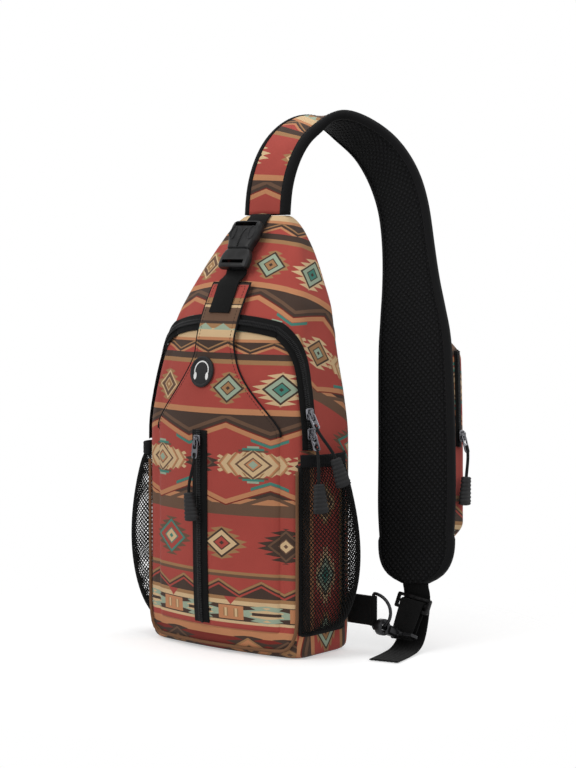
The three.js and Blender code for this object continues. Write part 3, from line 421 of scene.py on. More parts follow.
    def blocks(self) -> None:
        """Row of blocks and bursts near the foot, and the medallions' caps."""
        row = self.v.between(*self.BLOCK_ROW)
        across = self.u.cell(76, 12).size()
        rise = (self.v - 41).size()
        burst = across / 25 + rise / 8 - rise.wave(4.4) * 0.5
        self.paint(((burst < 1.0) * row, Dye.PALE_TEAL), ((burst < 0.5) * row, Dye.CREAM),
                   ((across < 15) * (rise < 1.4) * row, Dye.BROWN),
                   ((across > 24) * (rise < 6.6) * row, Dye.ORANGE),
                   (across.between(29.5, 35) * (rise < 4) * row, Dye.TAN),
                   (across.between(31, 33.5) * (rise < 4) * row, Dye.CREAM),
                   (((across + self.v) > 86.5) * self.v.between(48, 56), Dye.RED))
        medal, cap = self.medal
        self.paint(((medal < 11) * cap.between(13.5, 15.6), Dye.TEAL),
                   ((medal < 6) * cap.between(15.6, 17.6), Dye.PALE_TEAL),
                   ((medal / 5 + cap / 4) < 1.0, Dye.PALE_TEAL))

    def blankets(self) -> None:
        """Blanket panels and teeth over the cream band near the top."""
        sheet = self.u.cell(132, 6).size()
        teeth = (self.v - 307) < self.u.wave(22, 3) * 6
        self.paint(((sheet < 52) * self.v.between(307, 313) * teeth, Dye.PALE_TEAL),
                   ((sheet > 60) * self.v.between(306, 330), Dye.CREAM),
                   ((sheet > 62.5) * self.v.between(309, 327), Dye.ORANGE),
                   ((sheet < 36) * self.v.between(315, 327), Dye.MID_BROWN),
                   (sheet.between(36, 38.5) * self.v.between(312, 329), Dye.ORANGE),
                   ((sheet < 36) * self.v.between(327, 329.5), Dye.CREAM))


@cache
def print_group() -> Tree:
    """The shared print, built on first use."""
    return BandedPrint().build()


@cache
def weave_group() -> Tree:
    """Builds the shared weave: crossing threads, soft blotches and a height for bump.

    Returns:
        The finished group.
    """
    graph, fields, exit_node = new_group(
        "weave", [("Place", "NodeSocketVector", None), ("Threads", "NodeSocketFloat", 1400.0)],
        [("Height", "NodeSocketFloat"), ("Shade", "NodeSocketFloat")])
    split = graph.node("ShaderNodeSeparateXYZ")
    graph.feed(split.inputs[0], fields["Place"])
    parts = [Field(graph, split.outputs[i]) * fields["Threads"] for i in range(3)]
    warp = graph.math("SINE", parts[0] + parts[1])
    weft = graph.math("SINE", parts[2] + parts[1] * 0.3)
    threads = warp * weft * 0.5 + 0.5
    blotch = graph.noise(fields["Place"], 38.0, 4.0)
    grain = graph.noise(fields["Place"], 900.0, 2.0)
    graph.feed(exit_node.inputs["Height"], threads * 0.6 + grain * 0.25)
    graph.feed(exit_node.inputs["Shade"], blotch * 0.22 + grain * 0.16 + threads * 0.08 + 0.77)
    return graph.tree


@cache
def wear_group() -> Tree:
    """Builds the shared wear: a mask of scuffs and a fine height for bump.

    Returns:
        The finished group.
    """
    graph, fields, exit_node = new_group(
        "wear", [("Place", "NodeSocketVector", None)],
        [("Scuff", "NodeSocketFloat"), ("Height", "NodeSocketFloat")])
    coarse = graph.noise(fields["Place"], 160.0, 6.0)
    fine = graph.noise(fields["Place"], 1500.0, 1.0)
    graph.feed(exit_node.inputs["Scuff"], graph.math("SMOOTH_MAX", coarse - 0.42, 0.0, 0.1))
    graph.feed(exit_node.inputs["Height"], fine)
    return graph.tree


@dataclass(frozen=True)
class ClothFinish:
    """A woven finish, plain or printed."""

    name: str
    colour: str = "181818"
    roughness: float = 0.85
    threads: float = 1400.0
    bump: float = 0.25
    sheen: float = 0.04
    printed: bool = False
    relief: float = 0.0

    def material(self) -> bpy.types.Material:
        """Builds the finish as a material.

        Returns:
            The new material.
        """
        made = bpy.data.materials.new(self.name)
        made.use_nodes = True
        graph = Graph(made.node_tree)
        shader = made.node_tree.nodes["Principled BSDF"]
        place = graph.node("ShaderNodeTexCoord")
        weave = graph.node("ShaderNodeGroup", node_tree=weave_group())
        graph.feed(weave.inputs["Place"], place.outputs["Object"])
        weave.inputs["Threads"].default_value = self.threads
        height = Field(graph, weave.outputs["Height"])
        shade = Field(graph, weave.outputs["Shade"])
        base: object = srgb(self.colour)
        if self.printed:
            cloth = graph.node("ShaderNodeUVMap", uv_map=UV_NAME)
            dyes = graph.node("ShaderNodeGroup", node_tree=print_group())
            graph.feed(dyes.inputs["Cloth"], cloth.outputs[0])
            base = dyes.outputs["Colour"]
        if self.relief:
            cells = self.cells(graph)
            height = height + cells * self.relief
            # Painted shade in the hollows between the raised cells and painted highlight on their tops: the
            # cells' height darkens and lightens the colour.
            shade = shade * (cells * 3.2 + 0.1)
        toned = graph.node("ShaderNodeMix", data_type="RGBA", blend_type="MULTIPLY")
        toned.inputs[0].default_value = 1.0
        graph.feed(toned.inputs[6], base)
        graph.feed(toned.inputs[7], shade)
        graph.feed(shader.inputs["Base Color"], toned.outputs[2])
        graph.feed(shader.inputs["Roughness"], shade * 0.2 + (self.roughness - 0.2))
        bump = graph.node("ShaderNodeBump")
        bump.inputs["Strength"].default_value = self.bump
        bump.inputs["Distance"].default_value = 0.0006
        graph.feed(bump.inputs["Height"], height)
        graph.feed(shader.inputs["Normal"], bump.outputs[0])
        shader.inputs["Sheen Weight"].default_value = self.sheen
        shader.inputs["Sheen Roughness"].default_value = 0.5
        shader.inputs["Specular IOR Level"].default_value = 0.12
        return made

    def cells(self, graph: Graph) -> Field:
        """Raised diamond cells of a spacer mesh, over the piece's own cloth map.

        Args:
            graph: the material's graph.

        Returns:
            Height of the cells, from 0 to 1, for bump and for the painted shade and highlight of the colour.
        """
        cloth = graph.node("ShaderNodeUVMap", uv_map=UV_NAME)
        split = graph.node("ShaderNodeSeparateXYZ")
        graph.feed(split.inputs[0], cloth.outputs[0])
        u = Field(graph, split.outputs[0]) / UV_SCALE
        v = Field(graph, split.outputs[1]) / UV_SCALE
        lobes = graph.math("SINE", (u + v) * 0.52) * graph.math("SINE", (u - v) * 0.52)
        return lobes * lobes


@dataclass(frozen=True)
class HardFinish:
    """A moulded or plated finish."""

    name: str
    colour: str
    roughness: float = 0.4
    metallic: float = 0.0
    bump: float = 0.08
    gloss: float = 0.5

    def material(self) -> bpy.types.Material:
        """Builds the finish as a material.

        Returns:
            The new material.
        """
        made = bpy.data.materials.new(self.name)
        made.use_nodes = True
        graph = Graph(made.node_tree)
        shader = made.node_tree.nodes["Principled BSDF"]
        place = graph.node("ShaderNodeTexCoord")
        wear = graph.node("ShaderNodeGroup", node_tree=wear_group())
        graph.feed(wear.inputs["Place"], place.outputs["Object"])
        scuff = Field(graph, wear.outputs["Scuff"])
        dark = srgb(self.colour)
        light = tuple(min(1.0, c * 1.5 + 0.012) for c in dark)
        graph.feed(shader.inputs["Base Color"], graph.mix(scuff * 2.2, dark, light))
        graph.feed(shader.inputs["Roughness"], scuff * 0.7 + (self.roughness - 0.04))
        shader.inputs["Metallic"].default_value = self.metallic
        shader.inputs["Specular IOR Level"].default_value = self.gloss
        bump = graph.node("ShaderNodeBump")
        bump.inputs["Strength"].default_value = self.bump
        bump.inputs["Distance"].default_value = 0.0004
        graph.feed(bump.inputs["Height"], wear.outputs["Height"])
        graph.feed(shader.inputs["Normal"], bump.outputs[0])
        return made


Finish = ClothFinish | HardFinish


class Finishes:
    """Every finish of the bag, each made a material once."""

    PRINT = ClothFinish("printed_cloth", roughness=0.78, threads=2400.0, bump=0.2, sheen=0.1, printed=True)
    LINING = ClothFinish("black_cloth", "151516", threads=1800.0)
    AIR_MESH = ClothFinish("air_mesh", "131314", roughness=0.9, bump=1.0, relief=1.6, sheen=0.02)
    BINDING = ClothFinish("edge_binding", "141415", threads=2600.0, bump=0.4)
    WEBBING = ClothFinish("ribbed_webbing", "0e0e0e", threads=3200.0, bump=0.5)
    TAPE = ClothFinish("zip_tape", "101010", threads=3600.0, bump=0.4)
    NET = ClothFinish("net_thread", "121212", threads=5000.0, bump=0.3)
    CORD = ClothFinish("braided_cord", "1d1d1d", threads=4200.0, bump=0.6)
    THREAD = ClothFinish("stitch_thread", "2b2422", threads=6000.0, bump=0.3)
    PIPING = ClothFinish("rolled_piping", "7d5a41", threads=3000.0, bump=0.3)
    COIL = HardFinish("zip_coil", "181819", roughness=0.42, gloss=0.25)
    BUCKLE = HardFinish("moulded_acetal", "131314", roughness=0.34, bump=0.1, gloss=0.2)
    RUBBER = HardFinish("soft_rubber", "222223", roughness=0.62, bump=0.2, gloss=0.2)
    SILVER = HardFinish("plated_zinc", "606064", roughness=0.2, metallic=1.0, bump=0.03)
    BLACK_METAL = HardFinish("blackened_metal", "2a2a2c", roughness=0.34, metallic=0.75, bump=0.05)
    WHITE_INK = HardFinish("white_ink", "f0f0ee", roughness=0.6, bump=0.02)

    @staticmethod
    @cache
    def get(finish: Finish) -> bpy.types.Material:
        """A finish's material, built on first use."""
        return finish.material()


# Mesh making
def lengths_along(points: Sequence[np.ndarray]) -> np.ndarray:
    """Distance along a line to each of its points."""
    return np.r_[0, np.cumsum(np.linalg.norm(np.diff(points, axis=0), axis=1))]


def shade_smooth(mesh: bpy.types.Mesh) -> None:
    """Shades every face smooth."""
    mesh.polygons.foreach_set("use_smooth", [True] * len(mesh.polygons))


def settle(piece: Piece) -> bpy.types.Mesh:
    """Turns a piece's live modifiers into plain mesh.

    Args:
        piece: the object with modifiers.

    Returns:
        Its new mesh.
    """
    seen = piece.evaluated_get(bpy.context.evaluated_depsgraph_get())
    plain = bpy.data.meshes.new_from_object(seen)
    piece.modifiers.clear()
    piece.data = plain
    return plain


def make_piece(name: str, points: Iterable[Sequence[float]], faces: Sequence[Sequence[int]],
               finish: Finish, uv: Optional[np.ndarray] = None,
               face_uv: Optional[Sequence[Outline]] = None,
               mend: bool = True) -> Piece:
    """Makes a smooth piece from points in millimetres.

    Args:
        name: the piece's name.
        points: vertex places in millimetres.
        faces: vertex numbers of each face.
        finish: the piece's main finish.
        uv: cloth position of each vertex, in millimetres.
        face_uv: cloth positions of each face's corners, in place of uv.
        mend: whether faces are turned to point out.

    Returns:
        The new object.
    """
    mesh = bpy.data.meshes.new(name)
    mesh.from_pydata([tuple(c * MM for c in p) for p in points], [], [tuple(f) for f in faces])
    if uv is not None or face_uv is not None:
        layer = mesh.uv_layers.new(name=UV_NAME)
        corners = face_uv if face_uv is not None else [[uv[i] for i in f] for f in faces]
        flat = np.array([c for face in corners for c in face], dtype=float).ravel() * UV_SCALE
        layer.data.foreach_set("uv", flat)
    if mend:
        work = bmesh.new()
        work.from_mesh(mesh)
        bmesh.ops.recalc_face_normals(work, faces=work.faces)
        work.to_mesh(mesh)
        work.free()
    shade_smooth(mesh)
    mesh.materials.append(Finishes.get(finish))
    made = bpy.data.objects.new(name, mesh)
    bpy.context.scene.collection.objects.link(made)
    return made


def sharpen(piece: Piece, degrees: float) -> None:
    """Marks edges over an angle as sharp.

    Args:
        piece: the object.
        degrees: the angle.
    """
    work = bmesh.new()
    work.from_mesh(piece.data)
    for edge in work.edges:
        if len(edge.link_faces) == 2 and edge.calc_face_angle(0.0) > math.radians(degrees):
            edge.smooth = False
    work.to_mesh(piece.data)
    work.free()


def grid_faces(rows: int, columns: int, start: int = 0, around: bool = False,
               looped: bool = False) -> list[tuple]:
    """Quads over a grid of points.

    Args:
        rows: how many rows of points.
        columns: points in a row.
        start: number of the first point.
        around: whether each row closes on itself.
        looped: whether the last row joins the first.

    Returns:
        Four point numbers for each quad.
    """
    made = []
    for row in range(rows if looped else rows - 1):
        upper = (row + 1) % rows
        for column in range(columns if around else columns - 1):
            following = (column + 1) % columns
            made.append((start + row * columns + column, start + row * columns + following,
                         start + upper * columns + following, start + upper * columns + column))
    return made


def capped_faces(rows: int, columns: int) -> list[tuple]:
    """Walls of a closed tube of points, with both ends filled."""
    ends = [tuple(range(columns)), tuple(range((rows - 1) * columns, rows * columns))]
    return grid_faces(rows, columns, around=True) + ends


def pad_faces(rows: int, columns: int) -> list[tuple]:
    """Faces of a pad: its inner grid, its outer grid and the rim between them.

    Args:
        rows: rows of points in each grid.
        columns: points in a row.

    Returns:
        Point numbers of each face.
    """
    count = rows * columns
    inner = grid_faces(rows, columns)
    outer = [tuple(i + count for i in face) for face in inner]
    rim = list(range(columns)) + [r * columns + columns - 1 for r in range(1, rows)]
    rim += [count - 1 - i for i in range(1, columns)] + [r * columns for r in range(rows - 2, 0, -1)]
    return inner + outer + [(a, b, b + count, a + count) for a, b in zip(rim, rim[1:] + rim[:1])]


def turn(sides: int) -> np.ndarray:
    """Even angles once round."""
    return np.linspace(0, 2 * math.pi, sides + 1)[:-1]


def squared(value: float, power: float) -> float:
    """Signed power, which squares up an oval's corners."""
    return math.copysign(abs(value) ** power, value)


def oval(wide: float, tall: float, sides: int) -> Outline:
    """Closed oval profile of a strip."""
    return [(wide * math.cos(a), tall * math.sin(a)) for a in turn(sides)]


def dress(piece: Piece, nodes: Sequence[str] = (),
          body: str = ROOT) -> Piece:
    """Puts a piece on its body and hides the frame nodes that it stands for.

    Args:
        piece: the piece.
        nodes: the frame nodes.
        body: the body that it rides on.

    Returns:
        The same piece.
    """
    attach(piece, body)
    if nodes:
        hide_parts(*nodes)
    LOG.info("%s rides on %s, %d faces", piece.name, body, len(piece.data.polygons))
    return piece


# Bag skin
class BagSkin:
    """The bag's outer surface, as smooth sections stacked up its height."""

    SECTIONS = np.array([
        [0, 90, -38, 6, 34, 14, 12], [2, 94, -41.5, 7.5, 37.5, 16, 14],
        [6, 97, -43.5, 9, 39.5, 18, 16], [14, 98.5, -44.5, 11, 40.5, 20, 18],
        [40, 100, -45, 14, 40.5, 20, 18], [80, 100, -45, 15.5, 40.5, 20, 18],
        [140, 100, -45, 16, 40.5, 20, 18], [210, 99.5, -45, 16, 40.5, 20, 18],
        [240, 95.5, -44, 15.5, 40.5, 20, 18], [276, 88, -40, 14, 40.5, 19, 18],
        [313, 81, -30, 13, 40.5, 18, 16], [332, 77, -21.5, 12.5, 40.5, 17, 15],
        [356, 67.5, -9, 11, 40.5, 14, 14], [380, 56.5, 2.5, 9, 40.5, 12, 12],
        [400, 44, 11.5, 6, 40.5, 10, 10], [410, 35, 16, 4, 40, 9, 8],
        [416, 28, 19.5, 2.5, 38.5, 7, 7], [418, 24, 21.5, 2, 36.5, 6, 6]])
    SEAM = 4.985

    def section(self, z: float) -> np.ndarray:
        """Section of the bag at a height.

        Args:
            z: height in millimetres.

        Returns:
            Half width, front edge, crown, back and the two corner radii.
        """
        rows = self.SECTIONS
        heights = rows[:, 0]
        i = int(np.clip(np.searchsorted(heights, z, side="right") - 1, 0, len(rows) - 2))
        span = heights[i + 1] - heights[i]
        t = float(np.clip((z - heights[i]) / span, 0, 1))
        rise = rows[i + 1] - rows[i]
        steepest = 3 * rise / span
        ends = []
        for k in (i, i + 1):
            a, b = max(k - 1, 0), min(k + 1, len(rows) - 1)
            slope = (rows[b] - rows[a]) / (heights[b] - heights[a])
            ends.append(np.clip(slope, np.minimum(0, steepest), np.maximum(0, steepest)) * span)
        s, c = t * t, t * t * t
        level = rows[i] * (2 * c - 3 * s + 1) + rows[i + 1] * (3 * s - 2 * c)
        return (level + ends[0] * (c - 2 * s + t) + ends[1] * (c - s))[1:]

    def point(self, side: float, z: float) -> np.ndarray:
        """Point of the surface.

        Args:
            side: 0 to 1 over the front, to 2 round the corner, to 3 over the gusset, to 4 round the rear
                corner and to 5 over the back, and below zero on the left.
            z: height in millimetres.

        Returns:
            The point in millimetres.
        """
        half, edge, crown, back, front, rear = self.section(z)
        s = abs(side)
        if s <= 1:
            x, y = (half - front) * s, edge - crown * (1 - s * s)
        elif s <= 2:
            a = (s - 1) * math.pi / 2
            x, y = half - front + front * math.sin(a), edge + front - front * math.cos(a)
        elif s <= 3:
            x, y = half, edge + front + (back - rear - edge - front) * (s - 2)
        elif s <= 4:
            a = (s - 3) * math.pi / 2
            x, y = half - rear + rear * math.cos(a), back - rear + rear * math.sin(a)
        else:
            x, y = (half - rear) * (5 - s), back
        return np.array([math.copysign(x, side) if side else 0.0, y, z])

    def normal(self, side: float, z: float) -> np.ndarray:
        """Outward direction of the surface.

        Args:
            side: place round the section.
            z: height in millimetres.

        Returns:
            The unit normal.
        """
        near = float(np.clip(side, -self.SEAM, self.SEAM))
        along = self.point(near + 0.01, z) - self.point(near - 0.01, z)
        up = self.point(side, z + 0.5) - self.point(side, z - 0.5)
        out = np.cross(along, up)
        return out / np.linalg.norm(out)

    def on(self, side: float, z: float, out: float) -> np.ndarray:
        """Point a distance out from the surface."""
        return self.point(side, z) + self.normal(side, z) * out

    def front_side(self, x: float, z: float) -> float:
        """Side value of a front point at a distance from the middle."""
        values = self.section(z)
        return x / (values[0] - values[4])

    def girth(self, z: float, sides: Sequence[float]) -> np.ndarray:
        """Distance round the section from the middle of the front to each side."""
        steps = lengths_along([self.point(s, z) for s in sides])
        return steps - np.interp(0, sides, steps)


SKIN = BagSkin()


@dataclass
class Station:
    """One place along a strip: its point and the strip's directions there."""

    point: np.ndarray
    along: np.ndarray
    across: np.ndarray
    normal: np.ndarray

    def at(self, u: float, v: float) -> np.ndarray:
        """Point across and out from the strip's middle line."""
        return self.point + self.across * u + self.normal * v


def unit(vector: np.ndarray) -> np.ndarray:
    """Vector of length one."""
    return vector / np.linalg.norm(vector)


def direction(points: Sequence[np.ndarray], i: int) -> np.ndarray:
    """Unit direction of a line of points at one of them."""
    return unit(points[min(i + 1, len(points) - 1)] - points[max(i - 1, 0)])


def stations_on(points: Sequence[np.ndarray], normals: Sequence[np.ndarray]) -> list[Station]:
    """Stations along points, each squared up to the surface's normal there.

    Args:
        points: the line.
        normals: the surface's normal at each point.

    Returns:
        One station for each point.
    """
    made = []
    for i, point in enumerate(points):
        along = direction(points, i)
        across = unit(np.cross(normals[i], along))
        made.append(Station(point, along, across, np.cross(along, across)))
    return made


def skin_stations(route: Outline, out: float) -> list[Station]:
    """Stations of a strip along (side, height) pairs over the skin."""
    points = [SKIN.on(side, z, out) for side, z in route]
    return stations_on(points, [SKIN.normal(side, z) for side, z in route])


def strip(name: str, stations: Sequence[Station], profile: Outline,
          finish: Finish, looped: bool = False) -> Piece:
    """Sweeps a closed profile along stations, with its ends filled.

    Args:
        name: the piece's name.
        stations: places along the strip.
        profile: distances across and out, once round.
        finish: its finish.
        looped: whether its end joins its start.

    Returns:
        The piece.
    """
    points = [s.at(u, v) for s in stations for u, v in profile]
    rows, count = len(stations), len(profile)
    faces = grid_faces(rows, count, around=True, looped=True) if looped else capped_faces(rows, count)
    lengths = lengths_along([s.point for s in stations])
    uv = np.array([(u, length) for length in lengths for u, _ in profile])
    return make_piece(name, points, faces, finish, uv=uv)


def smooth_route(points: Sequence[Sequence[float]], count: int) -> np.ndarray:
    """Evenly spaced points along a centripetal curve through the given ones.

    Args:
        points: rows of coordinates, whose columns past the third are carried along.
        count: how many points come back.

    Returns:
        An array with the same columns.
    """
    rows = np.array(points, dtype=float)
    knots = np.r_[0, np.cumsum(np.linalg.norm(np.diff(rows[:, :3], axis=0), axis=1) ** 0.5)]
    ends = np.vstack([2 * rows[0] - rows[1], rows, 2 * rows[-1] - rows[-2]])
    times = np.r_[-knots[1], knots, 2 * knots[-1] - knots[-2]]
    fine = []
    for t in np.linspace(0, knots[-1], count * 6):
        i = int(np.clip(np.searchsorted(times, t, side="right") - 1, 1, len(rows) - 1))
        near, level = times[i - 1:i + 3], ends[i - 1:i + 3]
        for spans in (((0, 1), (1, 2), (2, 3)), ((0, 2), (1, 3)), ((1, 2),)):
            level = [p * (near[b] - t) / (near[b] - near[a]) + q * (t - near[a]) / (near[b] - near[a])
                     for (a, b), p, q in zip(spans, level, level[1:])]
        fine.append(level[0])
    fine = np.array(fine)
    lengths = lengths_along(fine[:, :3])
    even = np.linspace(0, lengths[-1], count)
    return np.column_stack([np.interp(even, lengths, fine[:, k]) for k in range(rows.shape[1])])


# Repeats along routes
class RepeatTool:
    """Geometry Nodes group that sets copies of a small mesh along a route."""

    NAME = "repeat_along"

    @classmethod
    def group(cls) -> Tree:
        """Builds the group once, with named inputs.

        Returns:
            The group.
        """
        if cls.NAME in bpy.data.node_groups:
            return bpy.data.node_groups[cls.NAME]
        tree = bpy.data.node_groups.new(cls.NAME, "GeometryNodeTree")
        sockets = (("Geometry", "INPUT", "Geometry"), ("Spacing", "INPUT", "Float"),
                   ("Bead", "INPUT", "Object"), ("Finish", "INPUT", "Material"),
                   ("Geometry", "OUTPUT", "Geometry"))
        for label, way, kind in sockets:
            tree.interface.new_socket(label, in_out=way, socket_type=f"NodeSocket{kind}")
        kinds = {"curve": "MeshToCurve", "resample": "ResampleCurve", "bead": "ObjectInfo",
                 "place": "InstanceOnPoints", "facing": "InputNamedAttribute", "tangent": "InputTangent",
                 "realize": "RealizeInstances", "paint": "SetMaterial"}
        nodes = {name: tree.nodes.new(f"GeometryNode{kind}") for name, kind in kinds.items()}
        nodes["entry"] = tree.nodes.new("NodeGroupInput")
        nodes["leave"] = tree.nodes.new("NodeGroupOutput")
        nodes["aim"] = tree.nodes.new("FunctionNodeAxesToRotation")
        nodes["aim"].primary_axis, nodes["aim"].secondary_axis = "Y", "Z"
        nodes["resample"].mode = "LENGTH"
        nodes["facing"].data_type = "FLOAT_VECTOR"
        nodes["facing"].inputs[0].default_value = "facing"
        links = (
            ("entry", "Geometry", "curve", 0), ("curve", 0, "resample", "Curve"),
            ("entry", "Spacing", "resample", "Length"), ("entry", "Bead", "bead", "Object"),
            ("resample", 0, "place", "Points"), ("bead", "Geometry", "place", "Instance"),
            ("tangent", 0, "aim", "Primary Axis"), ("facing", 0, "aim", "Secondary Axis"),
            ("aim", 0, "place", "Rotation"), ("place", 0, "realize", 0),
            ("realize", 0, "paint", "Geometry"), ("entry", "Finish", "paint", "Material"),
            ("paint", 0, "leave", "Geometry"),
        )
        for start, out, end, into in links:
            tree.links.new(nodes[start].outputs[out], nodes[end].inputs[into])
        return tree

    @classmethod
    def run(cls, name: str, routes: Sequence[Route], bead: Piece,
            spacing: float, finish: Finish) -> Piece:
        """Sets beads along routes and keeps the result as plain mesh.

        Args:
            name: the new piece's name.
            routes: for each route, its points and the direction that each bead's Z faces, in millimetres.
            bead: the small mesh, whose Y runs along the route.
            spacing: distance between beads in millimetres.
            finish: finish of the beads.

        Returns:
            The piece with every bead.
        """
        mesh = bpy.data.meshes.new(name)
        points, edges, facing = [], [], []
        for line, normals in routes:
            first = len(points)
            points += [tuple(p * MM) for p in line]
            facing += [tuple(n) for n in normals]
            edges += [(first + i, first + i + 1) for i in range(len(line) - 1)]
        mesh.from_pydata(points, edges, [])
        layer = mesh.attributes.new("facing", "FLOAT_VECTOR", "POINT")
        layer.data.foreach_set("vector", np.array(facing, dtype=float).ravel())
        made = bpy.data.objects.new(name, mesh)
        bpy.context.scene.collection.objects.link(made)
        tool = made.modifiers.new("repeat", "NODES")
        tool.node_group = cls.group()
        values = {"Spacing": spacing * MM, "Bead": bead, "Finish": Finishes.get(finish)}
        for item in tool.node_group.interface.items_tree:
            if item.in_out == "INPUT" and item.name in values:
                tool[item.identifier] = values[item.name]
        plain = settle(made)
        plain.name = name
        shade_smooth(plain)
        return made


def bead_mesh(name: str, size: Sequence[float], finish: Finish) -> Piece:
    """A small rounded lozenge whose length runs along Y, used as a stitch or a zip tooth.

    Args:
        name: the bead's name.
        size: its width, length and height.
        finish: its finish.

    Returns:
        The bead, kept out of the scene.
    """
    points, rings, sides = [], 4, 6
    for i in range(rings + 1):
        t = math.pi * (0.08 + 0.84 * i / rings)
        for k in range(sides):
            a = 2 * math.pi * k / sides
            points.append((size[0] / 2 * math.sin(t) * math.cos(a), -size[1] / 2 * math.cos(t),
                           size[2] / 2 * math.sin(t) * math.sin(a)))
    made = make_piece(name, points, capped_faces(rings + 1, sides), finish)
    bpy.context.scene.collection.objects.unlink(made)
    return made


# Bag shell
def arch_height(side: float) -> float:
    """Height of the arch zip at a side value."""
    share = min(abs(side) / ARCH_SIDE, 1.0) ** ARCH_POWER
    return ARCH_SHOULDER + ARCH_RISE * (1 - share) ** (1 / ARCH_POWER)


def ripple(point: Sequence[float], scale: float) -> float:
    """Soft noise over a place in millimetres, about -1 to 1."""
    return noise.noise(Vector(point) / scale)


@dataclass
class BagBody:
    """The printed shell: front, gusset and slope, with a plain black back and base."""

    row_step: float = 3.6
    hem: float = 183.0
    lining_from: float = 3.45

    def build(self) -> None:
        """Builds the shell with its cloth map."""
        sides = np.r_[np.linspace(0, 1, 17), np.linspace(1, 2, 10)[1:], np.linspace(2, 3, 12)[1:],
                      np.linspace(3, 4, 7)[1:], np.linspace(4, 5, 8)[1:]]
        sides = np.r_[-sides[:0:-1], sides]
        low = [0, 0.6, 1.6, 3.2, 5.5, 8.5]
        crown = [410.5, 413, 415, 416.6, 417.6, 418]
        heights = np.r_[low, np.linspace(12, 408, int(396 / self.row_step)), crown]
        points, girths = [], []
        for z in heights:
            girths.append(SKIN.girth(z, sides))
            for side in sides:
                points.append(SKIN.point(side, z) + SKIN.normal(side, z) * self.slack(side, z))
        columns = len(sides)
        faces = grid_faces(len(heights), columns)
        corners = []
        for face in faces:
            corners.append([self.cloth(girths[i // columns], sides, heights, face, i) for i in face])
        base = [tuple(range(columns)), tuple(range((len(heights) - 1) * columns, len(heights) * columns))]
        corners += [[(0.0, 0.0)] * columns for _ in base]
        made = make_piece("bag_shell", points, faces + base, Finishes.PRINT, face_uv=corners)
        made.data.materials.append(Finishes.get(Finishes.LINING))
        plain = []
        for face in faces:
            middle = abs(sides[face[0] % columns] + sides[face[1] % columns]) / 2
            plain.append(1 if middle > self.lining_from or face[0] // columns < 1 else 0)
        plain += [1, 0]
        made.data.polygons.foreach_set("material_index", plain)
        self.close(made)
        dress(made, ["main_body"])

    def close(self, made: Piece) -> None:
        """Joins the two edges of the back's middle seam.

        Args:
            made: the shell.
        """
        work = bmesh.new()
        work.from_mesh(made.data)
        bmesh.ops.remove_doubles(work, verts=work.verts, dist=1e-6)
        bmesh.ops.recalc_face_normals(work, faces=work.faces)
        work.to_mesh(made.data)
        work.free()

    def slack(self, side: float, z: float) -> float:
        """How far the cloth sinks or swells where nothing is sewn over it.

        Args:
            side: place round the section.
            z: height in millimetres.

        Returns:
            Millimetres out from the skin.
        """
        if z < 3:
            return 0.0
        place = SKIN.point(side, z)
        loose = np.interp(abs(side), [0, 0.9, 1.3, 2.4, 3.1, 3.6], [0.25, 0.3, 0.8, 1.3, 0.9, 0.2])
        calm = np.interp(z, [3, 30, 190, 235, 330, 395, 412], [0.1, 0.5, 0.6, 0.7, 1.7, 1.2, 0.0])
        return float(loose * calm * (ripple(place, 34) * 0.8 + ripple(place, 13) * 0.35 - 0.45))

    def cloth(self, girth: np.ndarray, sides: np.ndarray, heights: np.ndarray, face: Sequence[int],
              index: int) -> tuple[float, float]:
        """Cloth position of one corner of a face.

        Args:
            girth: distances round the corner's row.
            sides: side value of each column.
            heights: height of each row.
            face: the face's point numbers.
            index: the corner's point number.

        Returns:
            Millimetres of cloth across and up.
        """
        columns = len(sides)
        middle = abs(sides[face[0] % columns] + sides[face[1] % columns]) / 2
        centre = (heights[face[0] // columns] + heights[face[2] // columns]) / 2
        reach = float(girth[index % columns])
        z = float(heights[index // columns])
        rim = PANEL_SIDE if centre < ARCH_FOOT else ARCH_SIDE
        inner = middle < rim and (centre < ARCH_SHOULDER or centre < arch_height(middle))
        if inner:
            return reach, z
        if centre > self.hem:
            return 1.08 * reach - 14, 1.12 * z + 0.0018 * reach * reach - 163
        return math.copysign(z, reach), 1.06 * abs(reach) + 115


